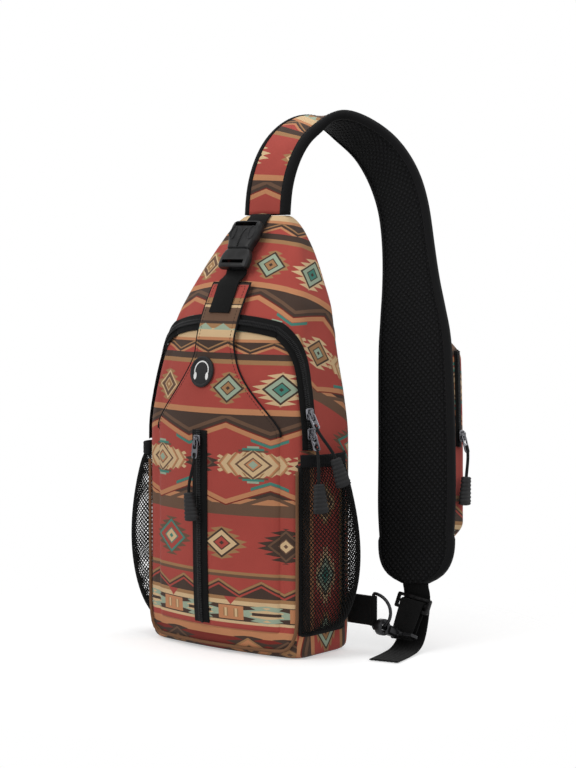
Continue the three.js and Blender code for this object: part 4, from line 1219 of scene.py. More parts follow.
@dataclass
class FrontPanel:
    """The front pocket's panel with the tongue that bridges the arch zip, and its bound edge."""

    bottom: float = 24.0
    shoulder: float = 214.0
    foot: float = 302.0
    top: float = 351.0
    tongue: float = 23.0
    thick: float = 1.6

    def half(self, z: float) -> float:
        """Half width at a height.

        Args:
            z: height in millimetres.

        Returns:
            The half width.
        """
        values = SKIN.section(z)
        full = values[0] - values[4] - 2
        t = float(np.clip((z - self.shoulder) / (self.foot - self.shoulder), 0, 1))
        share = math.sin(t * math.pi / 2) ** 1.35
        return full + (self.tongue - full) * share

    def out(self, z: float) -> float:
        """Height of the panel's inner face over the skin."""
        t = float(np.clip((z - self.foot + 22) / 22, 0, 1))
        return GAP + 3.9 * t * t * (3 - 2 * t)

    def build(self) -> None:
        """Builds the panel, the narrow binding rolled over its edge and its stitches."""
        heights = np.linspace(self.bottom, self.top, 92)
        shares = np.linspace(-1, 1, 49)
        inner, outer, uv = [], [], []
        for z in heights:
            half = self.half(z)
            for share in shares:
                side = SKIN.front_side(share * half, z)
                inset = (1 - abs(share)) * half
                edge = min(1.0, inset / 3, (self.top - z) / 3)
                edge = min(edge, (z - self.bottom) / 9, inset / 6 + max(z - 205, 0))
                sewn = float(np.interp(z, [205, 222], [0.03, 0.45]))
                body = self.thick * (sewn + (1 - sewn) * math.sqrt(max(edge, 0.0)))
                body += 0.25 * min(ripple(SKIN.point(side, z), 22), 0.2) * edge
                fade = float(np.clip((self.shoulder - z) / 10, 0, 1))
                tuck = 1.6 * max(0.0, 1 - inset / 7) ** 2 * fade
                inner.append(SKIN.on(side, z, self.out(z) - tuck))
                outer.append(SKIN.on(side, z, self.out(z) + body - tuck))
                uv.append((share * half, z))
        faces = pad_faces(len(heights), len(shares))
        panel = make_piece("front_pocket_panel", inner + outer, faces, Finishes.PRINT, uv=np.array(uv + uv))
        dress(panel, ["front_panel"])
        stations = stations_on(*self.line(0.4, 0.8))
        dress(strip("panel_edge", stations, oval(0.9, 0.8, 8), Finishes.BINDING))
        self.stitches()

    def line(self, inset: float, lift: float) -> Route:
        """Line along the free edge, up one side, over the tongue and down the other.

        Args:
            inset: distance in from the edge.
            lift: height over the panel's inner face.

        Returns:
            Its points and the normals there.
        """
        heights = np.linspace(self.shoulder - 4, self.top - inset, 60)
        places = [(self.half(z) - inset, z) for z in heights]
        end = np.linspace(self.tongue - inset, inset - self.tongue, 9)[1:-1]
        places += [(x, self.top - inset) for x in end]
        places += [(-(self.half(z) - inset), z) for z in heights[::-1]]
        points, normals = [], []
        for x, z in places:
            side = SKIN.front_side(x, z)
            points.append(SKIN.on(side, z, self.out(z) + lift))
            normals.append(SKIN.normal(side, z))
        return np.array(points), np.array(normals)

    def stitches(self) -> None:
        """Row of stitches inside the binding."""
        bead = bead_mesh("panel_stitch_bead", (0.55, 2.5, 0.45), Finishes.THREAD)
        line = self.line(4.2, self.thick + 0.05)
        made = RepeatTool.run("panel_stitches", [line], bead, 3.4, Finishes.THREAD)
        dress(made)


@dataclass
class BackPanel:
    """Padded air-mesh back with two breathing channels."""

    half: float = 74.0
    bottom: float = 26.0
    top: float = 338.0
    corner: float = 40.0
    face: float = 40.85
    thick: float = 4.5
    roll: float = 7.0
    channel: float = 26.0
    crease: float = 182.0
    furrow: float = 3.2

    def reach(self, z: float) -> float:
        """Half width of the rounded outline at a height."""
        drop = max(self.bottom + self.corner - z, z - self.top + self.corner, 0)
        return self.half - self.corner + math.sqrt(max(self.corner ** 2 - drop ** 2, 0.0))

    def build(self) -> None:
        """Builds the pad."""
        rise = 1 - np.cos(np.linspace(0.03, math.pi - 0.03, 84))
        heights = self.bottom + (self.top - self.bottom) * rise / 2
        shares = np.linspace(-1, 1, 47)
        inner, outer, uv = [], [], []
        for z in heights:
            half = self.reach(z)
            for share in shares:
                x = share * half
                rim = min(half - abs(x), z - self.bottom, self.top - z) / self.roll
                puff = math.sqrt(max(min(rim, 1.0), 0.0))
                groove = 1 - 0.75 * math.exp(-((abs(x) - self.channel) / self.furrow) ** 2)
                groove -= 0.6 * math.exp(-((z - self.crease) / self.furrow) ** 2)
                inner.append((x, self.face, z))
                outer.append((x, self.face + 0.6 + (self.thick - 0.6) * puff * max(groove, 0.15), z))
                uv.append((x, z))
        faces = pad_faces(len(heights), len(shares))
        made = make_piece("back_pad", inner + outer, faces, Finishes.AIR_MESH, uv=np.array(uv + uv))
        dress(made, ["back_panel"])


@dataclass
class BasePiping:
    """Rolled piping along the base's front and up both front corners."""

    radius: float = 1.6

    def build(self) -> None:
        """Builds the piping."""
        corner = [(PANEL_SIDE, 40), (1.41, 32), (1.38, 24), (1.31, 16.5), (1.2, 11.5), (1.06, 8.6),
                  (0.94, 7.6)]
        route = [(PANEL_SIDE, z) for z in np.linspace(178, 44, 30)] + corner
        route += [(s, 7.4) for s in np.linspace(0.88, -0.88, 40)]
        route += [(-s, z) for s, z in reversed(corner)]
        route += [(-PANEL_SIDE, z) for z in np.linspace(44, 178, 30)]
        ring = oval(self.radius, self.radius, 12)
        made = strip("base_piping_roll", skin_stations(route, self.radius + 0.2), ring, Finishes.PIPING)
        dress(made, ["base_piping"])


# Zips
@dataclass
class ZipRun:
    """One zip: its woven tape and two interlocking rows of teeth."""

    name: str
    stations: list[Station]
    width: float
    pitch: float = 1.7
    tape: float = 0.9

    def build(self) -> None:
        """Builds the tape, the teeth and the stitches."""
        half = self.width / 2
        raised = self.tape + 0.35
        profile = [(-half, 0), (half, 0), (half, self.tape * 0.6), (half - 0.6, self.tape),
                   (3.1, self.tape), (2.6, raised), (-2.6, raised), (-3.1, self.tape),
                   (0.6 - half, self.tape), (-half, self.tape * 0.6)]
        tape = strip(f"{self.name}_zip_cloth", self.stations, profile, Finishes.TAPE)
        dress(tape, [f"{self.name}_zip_tape"])
        bead = bead_mesh(f"{self.name}_tooth", (3.6, 1.25, 1.9), Finishes.COIL)
        routes = [self.line(hand) for hand in (-1, 1)]
        teeth = RepeatTool.run(f"{self.name}_zip_teeth", routes, bead, self.pitch, Finishes.COIL)
        dress(teeth, [f"{self.name}_zip_coil"])
        self.stitches()

    def line(self, hand: int) -> Route:
        """One row of teeth, set half a pitch apart from the other row.

        Args:
            hand: -1 or 1, for the side.

        Returns:
            Its points and the normals there.
        """
        points = np.array([s.at(1.25 * hand, self.tape + 1.05) for s in self.stations])
        if hand > 0:
            points[0] += self.stations[0].along * self.pitch / 2
        return points, np.array([s.normal for s in self.stations])

    def stitches(self) -> None:
        """Stitch rows along both edges of the tape."""
        bead = bead_mesh(f"{self.name}_tape_bead", (0.5, 2.0, 0.4), Finishes.BINDING)
        routes = []
        for hand in (-1, 1):
            line = np.array([s.at(hand * (self.width / 2 - 1.6), self.tape + 0.02) for s in self.stations])
            routes.append((line, np.array([s.normal for s in self.stations])))
        made = RepeatTool.run(f"{self.name}_zip_stitches", routes, bead, 2.9, Finishes.BINDING)
        dress(made)


def soft_copy(node: str, finish: Finish, body: str, round_by: float = 0.4,
              segments: int = 2, ease: float = 0.0) -> None:
    """A rounded copy of a frame node.

    Args:
        node: the frame node to stand for.
        finish: its finish.
        body: the body that it rides on.
        round_by: radius of its rounded edges in millimetres.
        segments: steps of each rounded edge.
        ease: how far its faces draw back in millimetres, for play at a joint.
    """
    mesh = frame["nodes"][node].data.copy()
    work = bmesh.new()
    work.from_mesh(mesh)
    bmesh.ops.remove_doubles(work, verts=work.verts, dist=1e-5)
    bmesh.ops.dissolve_limit(work, angle_limit=0.03, verts=work.verts, edges=work.edges)
    work.normal_update()
    for vert in work.verts:
        vert.co -= vert.normal * ease * MM
    paired = [e for e in work.edges if len(e.link_faces) == 2 and e.is_convex]
    edges = [e for e in paired if e.calc_face_angle(0.0) > 0.5]
    bmesh.ops.bevel(work, geom=edges, offset=round_by * MM, segments=segments, profile=0.5, affect="EDGES",
                    clamp_overlap=True)
    bmesh.ops.recalc_face_normals(work, faces=work.faces)
    work.to_mesh(mesh)
    work.free()
    mesh.materials.clear()
    mesh.materials.append(Finishes.get(finish))
    shade_smooth(mesh)
    made = bpy.data.objects.new(f"{node}_look", mesh)
    bpy.context.scene.collection.objects.link(made)
    sharpen(made, 40)
    dress(made, [node], body)


@dataclass
class ZipPull:
    """A slider with its tab, cord and ribbed grip."""

    name: str
    seat: np.ndarray
    station: Station
    swing: float
    cord: Point
    grip: Point
    radius: float = 1.5
    length: float = 28.0
    tab: float = 14.4
    hinge_out: float = 2.7
    tuck: float = 2.6

    def build(self) -> None:
        body = f"{self.name}_pull"
        soft_copy(f"{self.name}_slider", Finishes.SILVER, f"{self.name}_slider_body", 0.45,
                  ease=0.16)
        soft_copy(f"{self.name}_pull_tab", Finishes.SILVER, body, 0.35, ease=0.12)
        hinge = self.seat + self.station.normal * self.hinge_out
        angle = math.radians(self.swing)
        tab_way = unit(self.station.normal * math.sin(angle) - self.station.along * math.cos(angle))
        grip_way = unit(np.array(self.grip))
        start = hinge + tab_way * self.tab
        end = hinge + np.array(self.cord) + grip_way * self.tuck
        grip = self.make_grip(hinge + np.array(self.cord), grip_way, body)
        bend = np.linalg.norm(end - start) / 3
        handles = [start, start + tab_way * bend, end - grip_way * bend, end]
        line = []
        for t in np.linspace(0, 1, 28):
            s = 1 - t
            line.append(handles[0] * s ** 3 + handles[1] * 3 * s * s * t + handles[2] * 3 * s * t * t
                        + handles[3] * t ** 3)
        tube = self.tube(np.array(line))
        dress(tube, [f"{self.name}_pull_cord"], body)
        2 * self.radius * MM
        [tuple(p * MM) for p in line]

    def tube(self, line: np.ndarray) -> Piece:
        """Round braided cord along a line."""
        stations = stations_on(line, [self.station.normal] * len(line))
        return strip(f"{self.name}_cord", stations, oval(self.radius, self.radius, 12), Finishes.CORD)

    def make_grip(self, at: np.ndarray, way: np.ndarray, body: str) -> Piece:
        """Ribbed rubber grip that flares toward its end.

        Args:
            at: end of the cord.
            way: direction that it hangs in.
            body: the body that it rides on.

        Returns:
            The piece.
        """
        up = -way
        across = unit(np.cross(up, self.station.normal))
        out = np.cross(across, up)
        shares = [0.012, 0.02, 0.045, 0.08]
        for rib in range(6):
            base = 0.11 + rib * 0.135
            shares += [base, base + 0.03, base + 0.055, base + 0.085, base + 0.11]
        shares += [0.94, 0.97, 0.99, 1.0]
        points, sides = [], 28
        for i, t in enumerate(shares):
            crest = 1.0 if t < 0.1 or t > 0.92 or (i - 4) % 5 in (1, 2, 3) else 0.9
            rounded = 1.0 if t < 0.93 else math.sqrt(max(1 - ((t - 0.93) / 0.075) ** 2, 0.05))
            cap = min(1.0, 0.55 + 12 * t) * rounded
            half = (5 + 3.5 * t) * crest * cap
            thick = 4 * crest * cap
            centre = at + way * (GAP + self.length * t)
            for a in turn(sides):
                wide, deep = squared(math.cos(a), 0.75), squared(math.sin(a), 0.75)
                points.append(centre + across * half * wide + out * thick * deep)
        made = make_piece(f"{self.name}_grip", points, capped_faces(len(shares), sides), Finishes.RUBBER)
        return dress(made, [f"{self.name}_pull_grip"], body)


# Netting pockets
@dataclass
class MeshPocket:
    """A side pocket of open diamond netting with an elastic binding round its mouth."""

    hand: int
    bottom: float = 24.0
    top: float = 182.0
    fore: float = 1.52
    aft: float = 2.94
    waist: float = 100.0
    thread: float = 1.25
    columns: int = 27
    rows: int = 37

    @property
    def label(self) -> str:
        """Which side it is on."""
        return "right" if self.hand > 0 else "left"

    def swell(self, across: float, z: float) -> float:
        """How far the pocket stands off the gusset.

        Args:
            across: share of the way across.
            z: height in millimetres.

        Returns:
            The distance.
        """
        if across <= 0 or across >= 1:
            return 0.0
        t = float(np.clip((z - self.bottom) / (self.top - self.bottom), 0, 1))
        fullest, lean = (33, 1.5) if self.hand > 0 else (28, 0.85)
        upright = fullest * max(math.sin(math.pi * t ** 0.8), 0.0) ** 0.75 + 11 * t * t
        return upright * math.sin(math.pi * across ** lean) ** 0.8

    def place(self, across: float, z: float, out: float) -> np.ndarray:
        """Point of the pocket's surface.

        Args:
            across: share of the way across.
            z: height in millimetres.
            out: distance out from the net.

        Returns:
            The point.
        """
        side = self.hand * (self.fore + (self.aft - self.fore) * across)
        level = SKIN.normal(side, z) * np.array([1, 1, 0])
        shift = GAP + self.swell(across, min(z, self.top)) + out
        return SKIN.point(side, z) + unit(level) * shift

    def build(self) -> None:
        """Builds the net, its hem and the mouth's binding."""
        net = self.net()
        hem = self.hem()
        binding = self.binding()
        wide, tall = self.cut()
        LOG.info("%s net is cut %.0f by %.0f mm", self.label, wide, tall)

    def cut(self) -> tuple[float, float]:
        """Flat size of the netting, along its bulge.

        Returns:
            Its width and height.
        """
        girth = [self.place(float(a), self.waist, 0.6) for a in self.shares()]
        upright = [self.place(0.5, z, 0.6) for z in np.linspace(self.bottom, self.top, 60)]
        return float(lengths_along(girth)[-1]), float(lengths_along(upright)[-1])

    def shares(self) -> np.ndarray:
        """Positions across the pocket, even along its bulging line.

        Returns:
            Shares of the way across.
        """
        raw = np.linspace(0, 1, 200)
        lengths = lengths_along([self.place(a, self.waist, 0.5) for a in raw])
        return np.interp(np.linspace(0, lengths[-1], 2 * self.columns + 1), lengths, raw)

    def net(self) -> Piece:
        """Diamond lattice of thread over the pocket's surface.

        Returns:
            The piece.
        """
        across = self.shares()
        heights = np.linspace(self.bottom, self.top + 1, 2 * self.rows + 1)
        points, numbers = [], {}
        for r, z in enumerate(heights):
            for c, share in enumerate(across):
                if (r + c) % 2 == 0:
                    numbers[r, c] = len(points)
                    points.append(self.place(float(share), float(z), 0.6))
        faces = []
        for r in range(len(heights)):
            for c in range(len(across)):
                if (r + c) % 2 == 1:
                    corner = [numbers.get(k) for k in ((r - 1, c), (r, c + 1), (r + 1, c), (r, c - 1))]
                    corner = [k for k in corner if k is not None]
                    if len(corner) >= 3:
                        faces.append(corner)
        made = make_piece(f"net_{self.label}", points, faces, Finishes.NET, mend=False)
        wire = made.modifiers.new("threads", "WIREFRAME")
        wire.thickness = self.thread * MM
        wire.use_even_offset = False
        wire.use_boundary = True
        shade_smooth(settle(made))
        return dress(made, [f"mesh_pocket_{self.label}"])

    def hem(self) -> Piece:
        """Narrow seam binding down the pocket's two sides and along its foot.

        Returns:
            The piece.
        """
        line = [(0.0, z) for z in np.linspace(self.top, self.bottom, 26)]
        line += [(a, self.bottom) for a in np.linspace(0, 1, 26)[1:-1]]
        line += [(1.0, z) for z in np.linspace(self.bottom, self.top, 26)]
        points = np.array([self.place(a, z, 0.5) for a, z in line])
        normals = [unit(self.place(a, z, 2.0) - self.place(a, z, 0.0)) for a, z in line]
        ring = oval(1.9, 0.75, 10)
        made = strip(f"net_hem_{self.label}", stations_on(points, normals), ring, Finishes.BINDING)
        return dress(made)

    def binding(self) -> Piece:
        """Gathered elastic round the mouth.

        Returns:
            The piece.
        """
        across = np.interp(np.linspace(0, 1, 150), np.linspace(0, 1, len(self.shares())), self.shares())
        profile = [(182.35, 0.5), (182.2, 1.6), (183.2, 2.3), (185.4, 2.05), (188, 2.2), (190.6, 2.05),
                   (193, 2.3), (194.1, 1.5), (193.9, 0.3), (190, 0.0), (186, 0.0)]
        points, uv = [], []
        for i, share in enumerate(across):
            for z, out in profile:
                gather = 0.35 * math.sin(i * 1.7) * math.sin(math.pi * share) if out > 1 else 0.0
                points.append(self.place(float(share), z, out + gather))
                uv.append((i * 0.8, z))
        faces = capped_faces(len(across), len(profile))
        made = make_piece(f"pocket_binding_{self.label}", points, faces, Finishes.BINDING, uv=np.array(uv))
        return dress(made, [f"pocket_elastic_{self.label}"])


# Headphone port
@dataclass
class HeadphonePort:
    """Round rubber cable pass-through with a plain headphone sign."""

    radius: float = 15.0
    x: float = -10.0
    z: float = 268.0
    out: float = 2.65
    top: float = 1.2

    def build(self) -> None:
        """Builds the disc and its sign."""
        side = SKIN.front_side(self.x, self.z)
        out = SKIN.normal(side, self.z)
        across = unit(np.array([1.0, 0, 0]) - out * out[0])
        base = Station(SKIN.on(side, self.z, self.out), np.cross(out, across), across, out)
        profile = [(11.2, self.top), (11.7, 0.95), (12.2, 1.0), (12.7, 1.75), (13.6, 1.95), (14.5, 1.7),
                   (self.radius, 1.0), (self.radius, 0)]
        points, sides = [base.at(0, self.top)], 72
        for r, v in profile:
            points += [base.at(r * math.cos(a), v) + base.along * r * math.sin(a) for a in turn(sides)]
        faces = [(0, 1 + k, 1 + (k + 1) % sides) for k in range(sides)]
        faces += grid_faces(len(profile), sides, start=1, around=True)
        faces.append(tuple(range(len(points) - sides, len(points))))
        dress(make_piece("port_disc", points, faces, Finishes.RUBBER), ["headphone_port"])
        self.sign(base)

    def sign(self, base: Station) -> None:
        """Arc and two ear pads in white ink.

        Args:
            base: the disc's middle.
        """
        points, faces = [], []
        arc = np.linspace(math.radians(200), math.radians(-20), 40)
        for a in arc:
            for r in (8.2, 9.5):
                points.append(base.at(r * math.cos(a), 1.32) + base.along * (r * math.sin(a) + 1.0))
        faces += [(2 * i, 2 * i + 1, 2 * i + 3, 2 * i + 2) for i in range(len(arc) - 1)]
        for hand in (-1, 1):
            first, sides = len(points), 20
            for a in turn(sides):
                spot = base.at(hand * 7.7 + 1.9 * math.cos(a), 1.36)
                points.append(spot + base.along * (-4.2 + 3.6 * math.sin(a)))
            faces.append(tuple(range(first, first + sides)))
        dress(make_piece("port_sign", points, faces, Finishes.WHITE_INK))


# Shoulder strap
class StrapPath:
    """Middle line of the padded shoulder strap."""

    ROUTE = [
        (0, 28, 418.95, 27), (0, 31, 446, 27), (3, 44, 480, 27), (9, 62, 502, 27), (26, 87, 514, 27.5),
        (57, 113, 494, 28), (70, 122, 477, 28.5), (83, 127, 453, 29), (93, 127, 426, 29), (101, 124, 387, 30),
        (107, 120, 352, 33), (113, 115, 322, 37.5), (119, 110, 293, 41.5), (134, 93, 185, 44),
        (141, 83, 125, 43.5), (144, 79, 98, 40), (147, 74, 75, 30), (148, 72, 64, 15),
    ]
    FOOT = 42.0
    ROUNDS = 14
    COUNT = 150

    def __init__(self) -> None:
        """Runs the strap along its route, with its bend over the top evened out."""
        rows = smooth_route(self.ROUTE, self.COUNT)
        steps = np.linalg.norm(np.diff(rows[:, :3], axis=0), axis=1)
        left = np.r_[np.cumsum(steps[::-1])[::-1], 0.0]
        foot = 1 - (1 - np.clip(left / self.FOOT, 0, 1)) ** 2.5
        rounded = 43.5 * np.clip(foot, 0, 1) ** 0.4
        self.halves = np.where(left < self.FOOT, np.maximum(rounded, 14.5), rows[:, 3])
        self.stations: list[Station] = []
        line = rows[:, :3].copy()
        for _ in range(self.ROUNDS):
            line[1:-1] = line[1:-1] * 0.5 + (line[:-2] + line[2:]) * 0.25
        for i, point in enumerate(line):
            along = direction(line, i)
            across = unit(np.array([1.0, 0, 0]) - along * along[0])
            self.stations.append(Station(point, along, across, np.cross(across, along)))
        self.heights = line[:, 2]
        self.lengths = lengths_along(line)

    def share_at(self, z: float) -> float:
        """Station number on the hanging part at a height, with a fraction."""
        top = int(np.argmax(self.heights))
        return top + float(np.interp(-z, -self.heights[top:], range(len(self.heights) - top)))

    def at(self, number: float) -> Station:
        """Station between two kept ones.

        Args:
            number: the station's number, with a fraction.

        Returns:
            The station.
        """
        i = int(np.clip(math.floor(number), 0, len(self.stations) - 2))
        t = number - i
        low, high = [(s.point, s.along, s.across, s.normal) for s in self.stations[i:i + 2]]
        parts = [x * (1 - t) + y * t for x, y in zip(low, high)]
        return Station(parts[0], *(unit(p) for p in parts[1:]))


PATH = StrapPath()


@dataclass
class ShoulderStrap:
    """Padded strap: printed outer face, black air-mesh inner face and bound edges."""

    thick: float = 11.0
    print_at: tuple[float, float] = (114.0, 197.0)

    def build(self) -> None:
        """Builds the pad, its bindings and its stitches."""
        self.pad()
        for hand in (-1, 1):
            self.binding(hand)
        self.stitches()

    def section(self, half: float) -> list[tuple[float, float, int]]:
        """Outline of the strap.

        Args:
            half: the strap's half width.

        Returns:
            Distance across, distance out and face of each point.
        """
        h = self.thick / 2
        crowned = [(f * (half - 2.5), h * (0.62 + 0.36 * (1 - abs(f) ** 6))) for f in np.linspace(1, -1, 25)]
        edge = half - 0.6
        plain = [(-edge, h * 0.45), (-edge, -h * 0.45)]
        plain += [(-u, -v) for u, v in crowned]
        plain += [(edge, -h * 0.45), (edge, h * 0.45)]
        return [(u, v, 0) for u, v in crowned] + [(u, v, 1) for u, v in plain]

    def pad(self) -> None:
        """The pad itself."""
        points, uv = [], []
        for station, half, length in zip(PATH.stations, PATH.halves, PATH.lengths):
            for u, v, _ in self.section(half):
                soft = 0.5 * ripple(station.at(u, v), 26)
                points.append(station.at(u, v + math.copysign(min(soft, 0.1), v)))
                uv.append((u + self.print_at[0], length + self.print_at[1]))
        outline = self.section(27)
        count = len(outline)
        faces = capped_faces(len(PATH.stations), count)
        made = make_piece("strap_body", points, faces, Finishes.PRINT, uv=np.array(uv))
        made.data.materials.append(Finishes.get(Finishes.AIR_MESH))
        marks = []
        for face in faces[:-2]:
            kinds = {outline[i % count][2] for i in face}
            marks.append(0 if kinds == {0} else 1)
        made.data.polygons.foreach_set("material_index", marks + [1, 1])
        dress(made, ["strap_pad"])

    def binding(self, hand: int) -> None:
        """Folded binding over one edge.

        Args:
            hand: -1 or 1, for the side.
        """
        h = self.thick / 2
        points = []
        profile = [(-7.5, h * 0.99), (-3, h * 0.93), (-0.8, h * 0.66), (0.35, h * 0.3), (0.35, -h * 0.3),
                   (-0.8, -h * 0.66), (-3, -h * 0.93), (-5, -h * 0.99), (-5, -h * 0.9), (-3.4, -h * 0.78),
                   (-3.4, h * 0.78), (-7.5, h * 0.9)]
        for station, half in zip(PATH.stations, PATH.halves):
            points += [station.at(hand * (half + u), v) for u, v in profile]
        faces = capped_faces(len(PATH.stations), len(profile))
        name = "strap_binding_right" if hand > 0 else "strap_binding_left"
        uv = np.array([(u, length) for length in PATH.lengths for u, _ in profile])
        dress(make_piece(name, points, faces, Finishes.BINDING, uv=uv))

    def stitches(self) -> None:
        """Stitch rows along both bindings, on both faces."""
        bead = bead_mesh("strap_bead", (0.6, 2.4, 0.5), Finishes.BINDING)
        routes = []
        rise = self.thick / 2 + 0.05
        pairs = list(zip(PATH.stations, PATH.halves))[2:-2]
        for hand in (-1, 1):
            for face, inset in ((-1, 8.0), (1, 6.6)):
                line = [s.at(hand * (half - inset), face * rise) for s, half in pairs]
                routes.append((np.array(line), np.array([s.normal * face for s, _ in pairs])))
        made = RepeatTool.run("strap_stitches", routes, bead, 3.3, Finishes.BINDING)
        dress(made)


@dataclass
class StrapPocket:
    """Printed pocket on the strap's outside, zipped along its side."""

    upper: float = 292.0
    lower: float = 106.0
    half: float = 40.0
    deep: float = 18.0
    corner: float = 4.0
    lift: float = 5.5 + GAP

    def build(self) -> None:
        """Builds the pocket and its zip."""
        numbers = np.linspace(PATH.share_at(self.upper), PATH.share_at(self.lower), 64)
        points, uv = [], []
        length = self.upper - self.lower
        for i, number in enumerate(numbers):
            station = PATH.at(number)
            t = i / (len(numbers) - 1)
            near = min(t, 1 - t) * length
            ease = math.sin(min(near / 16, 1) * math.pi / 2)
            half = self.half - 6 * (1 - ease)
            deep = self.deep * (0.42 + 0.58 * ease)
            outline = self.outline(half, deep)
            for u, v in outline:
                soft = 0.5 * min(ripple(station.at(u, v), 20), 0.1) if v > deep * 0.9 else 0.0
                points.append(station.at(u, self.lift + v + soft))
                reach = u if v >= deep * 0.9 else math.copysign(half + deep - v, u)
                uv.append((reach, 40 + length * (1 - t)))
        faces = capped_faces(len(numbers), len(outline))
        made = make_piece("strap_pouch", points, faces, Finishes.PRINT, uv=np.array(uv))
        dress(made, ["strap_pocket"])
        zip_line = [self.zip_station(n) for n in np.linspace(PATH.share_at(282), PATH.share_at(192), 40)]
        ZipRun("strap", zip_line, 9.0).build()

    def outline(self, half: float, deep: float) -> Outline:
        """Section of the pocket, flat on the strap and rounded at its two outer corners.

        Args:
            half: half width.
            deep: depth.

        Returns:
            Distances across and out, once round.
        """
        bend = self.corner * min(1, deep / self.deep)
        flat = half - self.corner
        wall = [(half, deep * f) for f in (0.2, 0.45, 0.66)]
        for a in np.linspace(0, math.pi / 2, 6):
            wall.append((flat + self.corner * math.cos(a), deep - bend + bend * math.sin(a)))
        face = [(f * flat, deep) for f in np.linspace(0.85, -0.85, 15)]
        return [(-half, 0.0), (half, 0.0)] + wall + face + [(-u, v) for u, v in reversed(wall)]

    def zip_station(self, number: float) -> Station:
        """Station of the zip on the pocket's outer wall.

        Args:
            number: station number on the strap.

        Returns:
            The station.
        """
        base = PATH.at(number)
        wall = base.at(self.half + GAP, self.lift + (self.deep - self.corner) / 2)
        back = -base.along
        return Station(wall, back, np.cross(base.across, back), base.across)


# Buckle, webbing and hardware
@dataclass
class BuckleFrame:
    """Frame of the side-release buckle on the slope above the tongue."""

    centre: float = 388.0
    lift: float = 9.0

    def __post_init__(self) -> None:
        """Finds the buckle's place and directions from the skin."""
        self.out = SKIN.normal(0.0, self.centre)
        self.across = np.array([1.0, 0, 0])
        self.up = np.cross(self.out, self.across)
        self.at = SKIN.on(0.0, self.centre, self.lift)

    def place(self, x: float, y: float, z: float) -> np.ndarray:
        """Point of the buckle from its own across, up and out distances."""
        return self.at + self.across * x + self.up * y + self.out * z


@dataclass
class SideBuckle:
    """Side-release buckle: waisted shells with press pads, a forked groove rib and webbing slots."""

    socket: tuple = ((21.5, 13.6, 3.4), (20.9, 15.6, 4.6), (19.4, 17.2, 5.2), (16, 17.9, 5.5), (9, 18, 5.5),
                     (4, 17.3, 5.5), (-1, 15.6, 5.5), (-5, 14.4, 5.5), (-8.4, 14, 5.4), (-9.3, 13.6, 4.8))
    plug: tuple = ((-8.6, 12.4, 3.6), (-9.6, 13.6, 4.2), (-13, 15.8, 4.5), (-16.5, 17.4, 4.5), (-21, 18, 4.5),
                   (-26.5, 18, 4.5), (-28.9, 17.4, 4.2), (-29.8, 16.2, 3.2))
    slot_half: float = 13.2

    def build(self) -> None:
        """Builds both halves and the raised details."""
        seat = BuckleFrame()
        self.half(seat, "buckle_socket", self.socket, (17.0, 2.3))
        self.half(seat, "buckle_plug", self.plug, (-24.2, 1.9))
        for hand in (-1, 1):
            self.pad(seat, hand)
        self.rib(seat)

    def half(self, seat: BuckleFrame, node: str, rows: tuple, slot: tuple[float, float]) -> None:
        """One moulded half, lofted and then cut for its webbing.

        Args:
            seat: the buckle's frame.
            node: the frame node that it stands for.
            rows: height, half width and half thickness of each section.
            slot: middle and half height of the webbing slot.
        """
        points, sides = [], 48
        for y, wide, deep in rows:
            for a in turn(sides):
                across, out = squared(math.cos(a), 0.45), squared(math.sin(a), 0.4)
                points.append(seat.place(wide * across, y, deep * out))
        made = make_piece(f"{node}_look", points, capped_faces(len(rows), sides), Finishes.BUCKLE)
        middle, reach = slot
        ends = (-self.slot_half, self.slot_half)
        corners = [seat.place(x, middle + y, z) for z in (-9, 9) for y in (-reach, reach) for x in ends]
        boxed = [(0, 1, 3, 2), (4, 5, 7, 6), (0, 1, 5, 4), (2, 3, 7, 6), (0, 2, 6, 4), (1, 3, 7, 5)]
        cutter = make_piece(f"{node}_slot", corners, boxed, Finishes.BUCKLE)
        tool = made.modifiers.new("slot", "BOOLEAN")
        tool.object = cutter
        tool.operation = "DIFFERENCE"
        settle(made)
        bpy.data.objects.remove(cutter)
        sharpen(made, 30)
        dress(made, [node])

    def pad(self, seat: BuckleFrame, hand: int) -> None:
        """Oval press pad with fine cross ridges on the socket's face.

        Args:
            seat: the buckle's frame.
            hand: -1 or 1, for the side.
        """
        points, rows, sides = [], 14, 44
        for r in range(rows + 1):
            share = r / rows
            for a in turn(sides):
                x = 3.9 * share * math.cos(a)
                y = 8.0 * share * math.sin(a)
                ridge = 0.3 * math.sin(y * 3.4) if share < 0.88 else 0.0
                rim = 1.5 * math.exp(-((share - 0.9) / 0.09) ** 2)
                rise = rim + ridge * (1 - share ** 4) - 2.2 * (share > 0.97)
                points.append(seat.place(hand * (12.0 - 0.12 * abs(y)) + x, 7.2 + y, 4.9 + rise))
        faces = grid_faces(rows + 1, sides, around=True)
        name = "buckle_pad_right" if hand > 0 else "buckle_pad_left"
        dress(make_piece(name, points, faces, Finishes.RUBBER))

    def rib(self, seat: BuckleFrame) -> None:
        """Forked rib down the middle of the socket.

        Args:
            seat: the buckle's frame.
        """
        line = [(0, -8.2), (0, -2), (0, 3), (0.3, 6), (1.6, 9.4), (4.2, 12.2)]
        profile = ((-0.85, 5.2), (-0.5, 6.1), (0.5, 6.1), (0.85, 5.2))
        steps = 24
        points, faces = [], []
        for hand in (-1, 1):
            first = len(points)
            fine = smooth_route([(hand * x, y, 0) for x, y in line], steps)
            for i, row in enumerate(fine):
                way = direction(fine, i)
                side = np.array([-way[1], way[0], 0])
                for u, v in profile:
                    spot = row + side * u
                    points.append(seat.place(spot[0], spot[1], v))
            faces += [tuple(i + first for i in face) for face in capped_faces(steps, len(profile))]
        dress(make_piece("buckle_rib", points, faces, Finishes.BUCKLE))


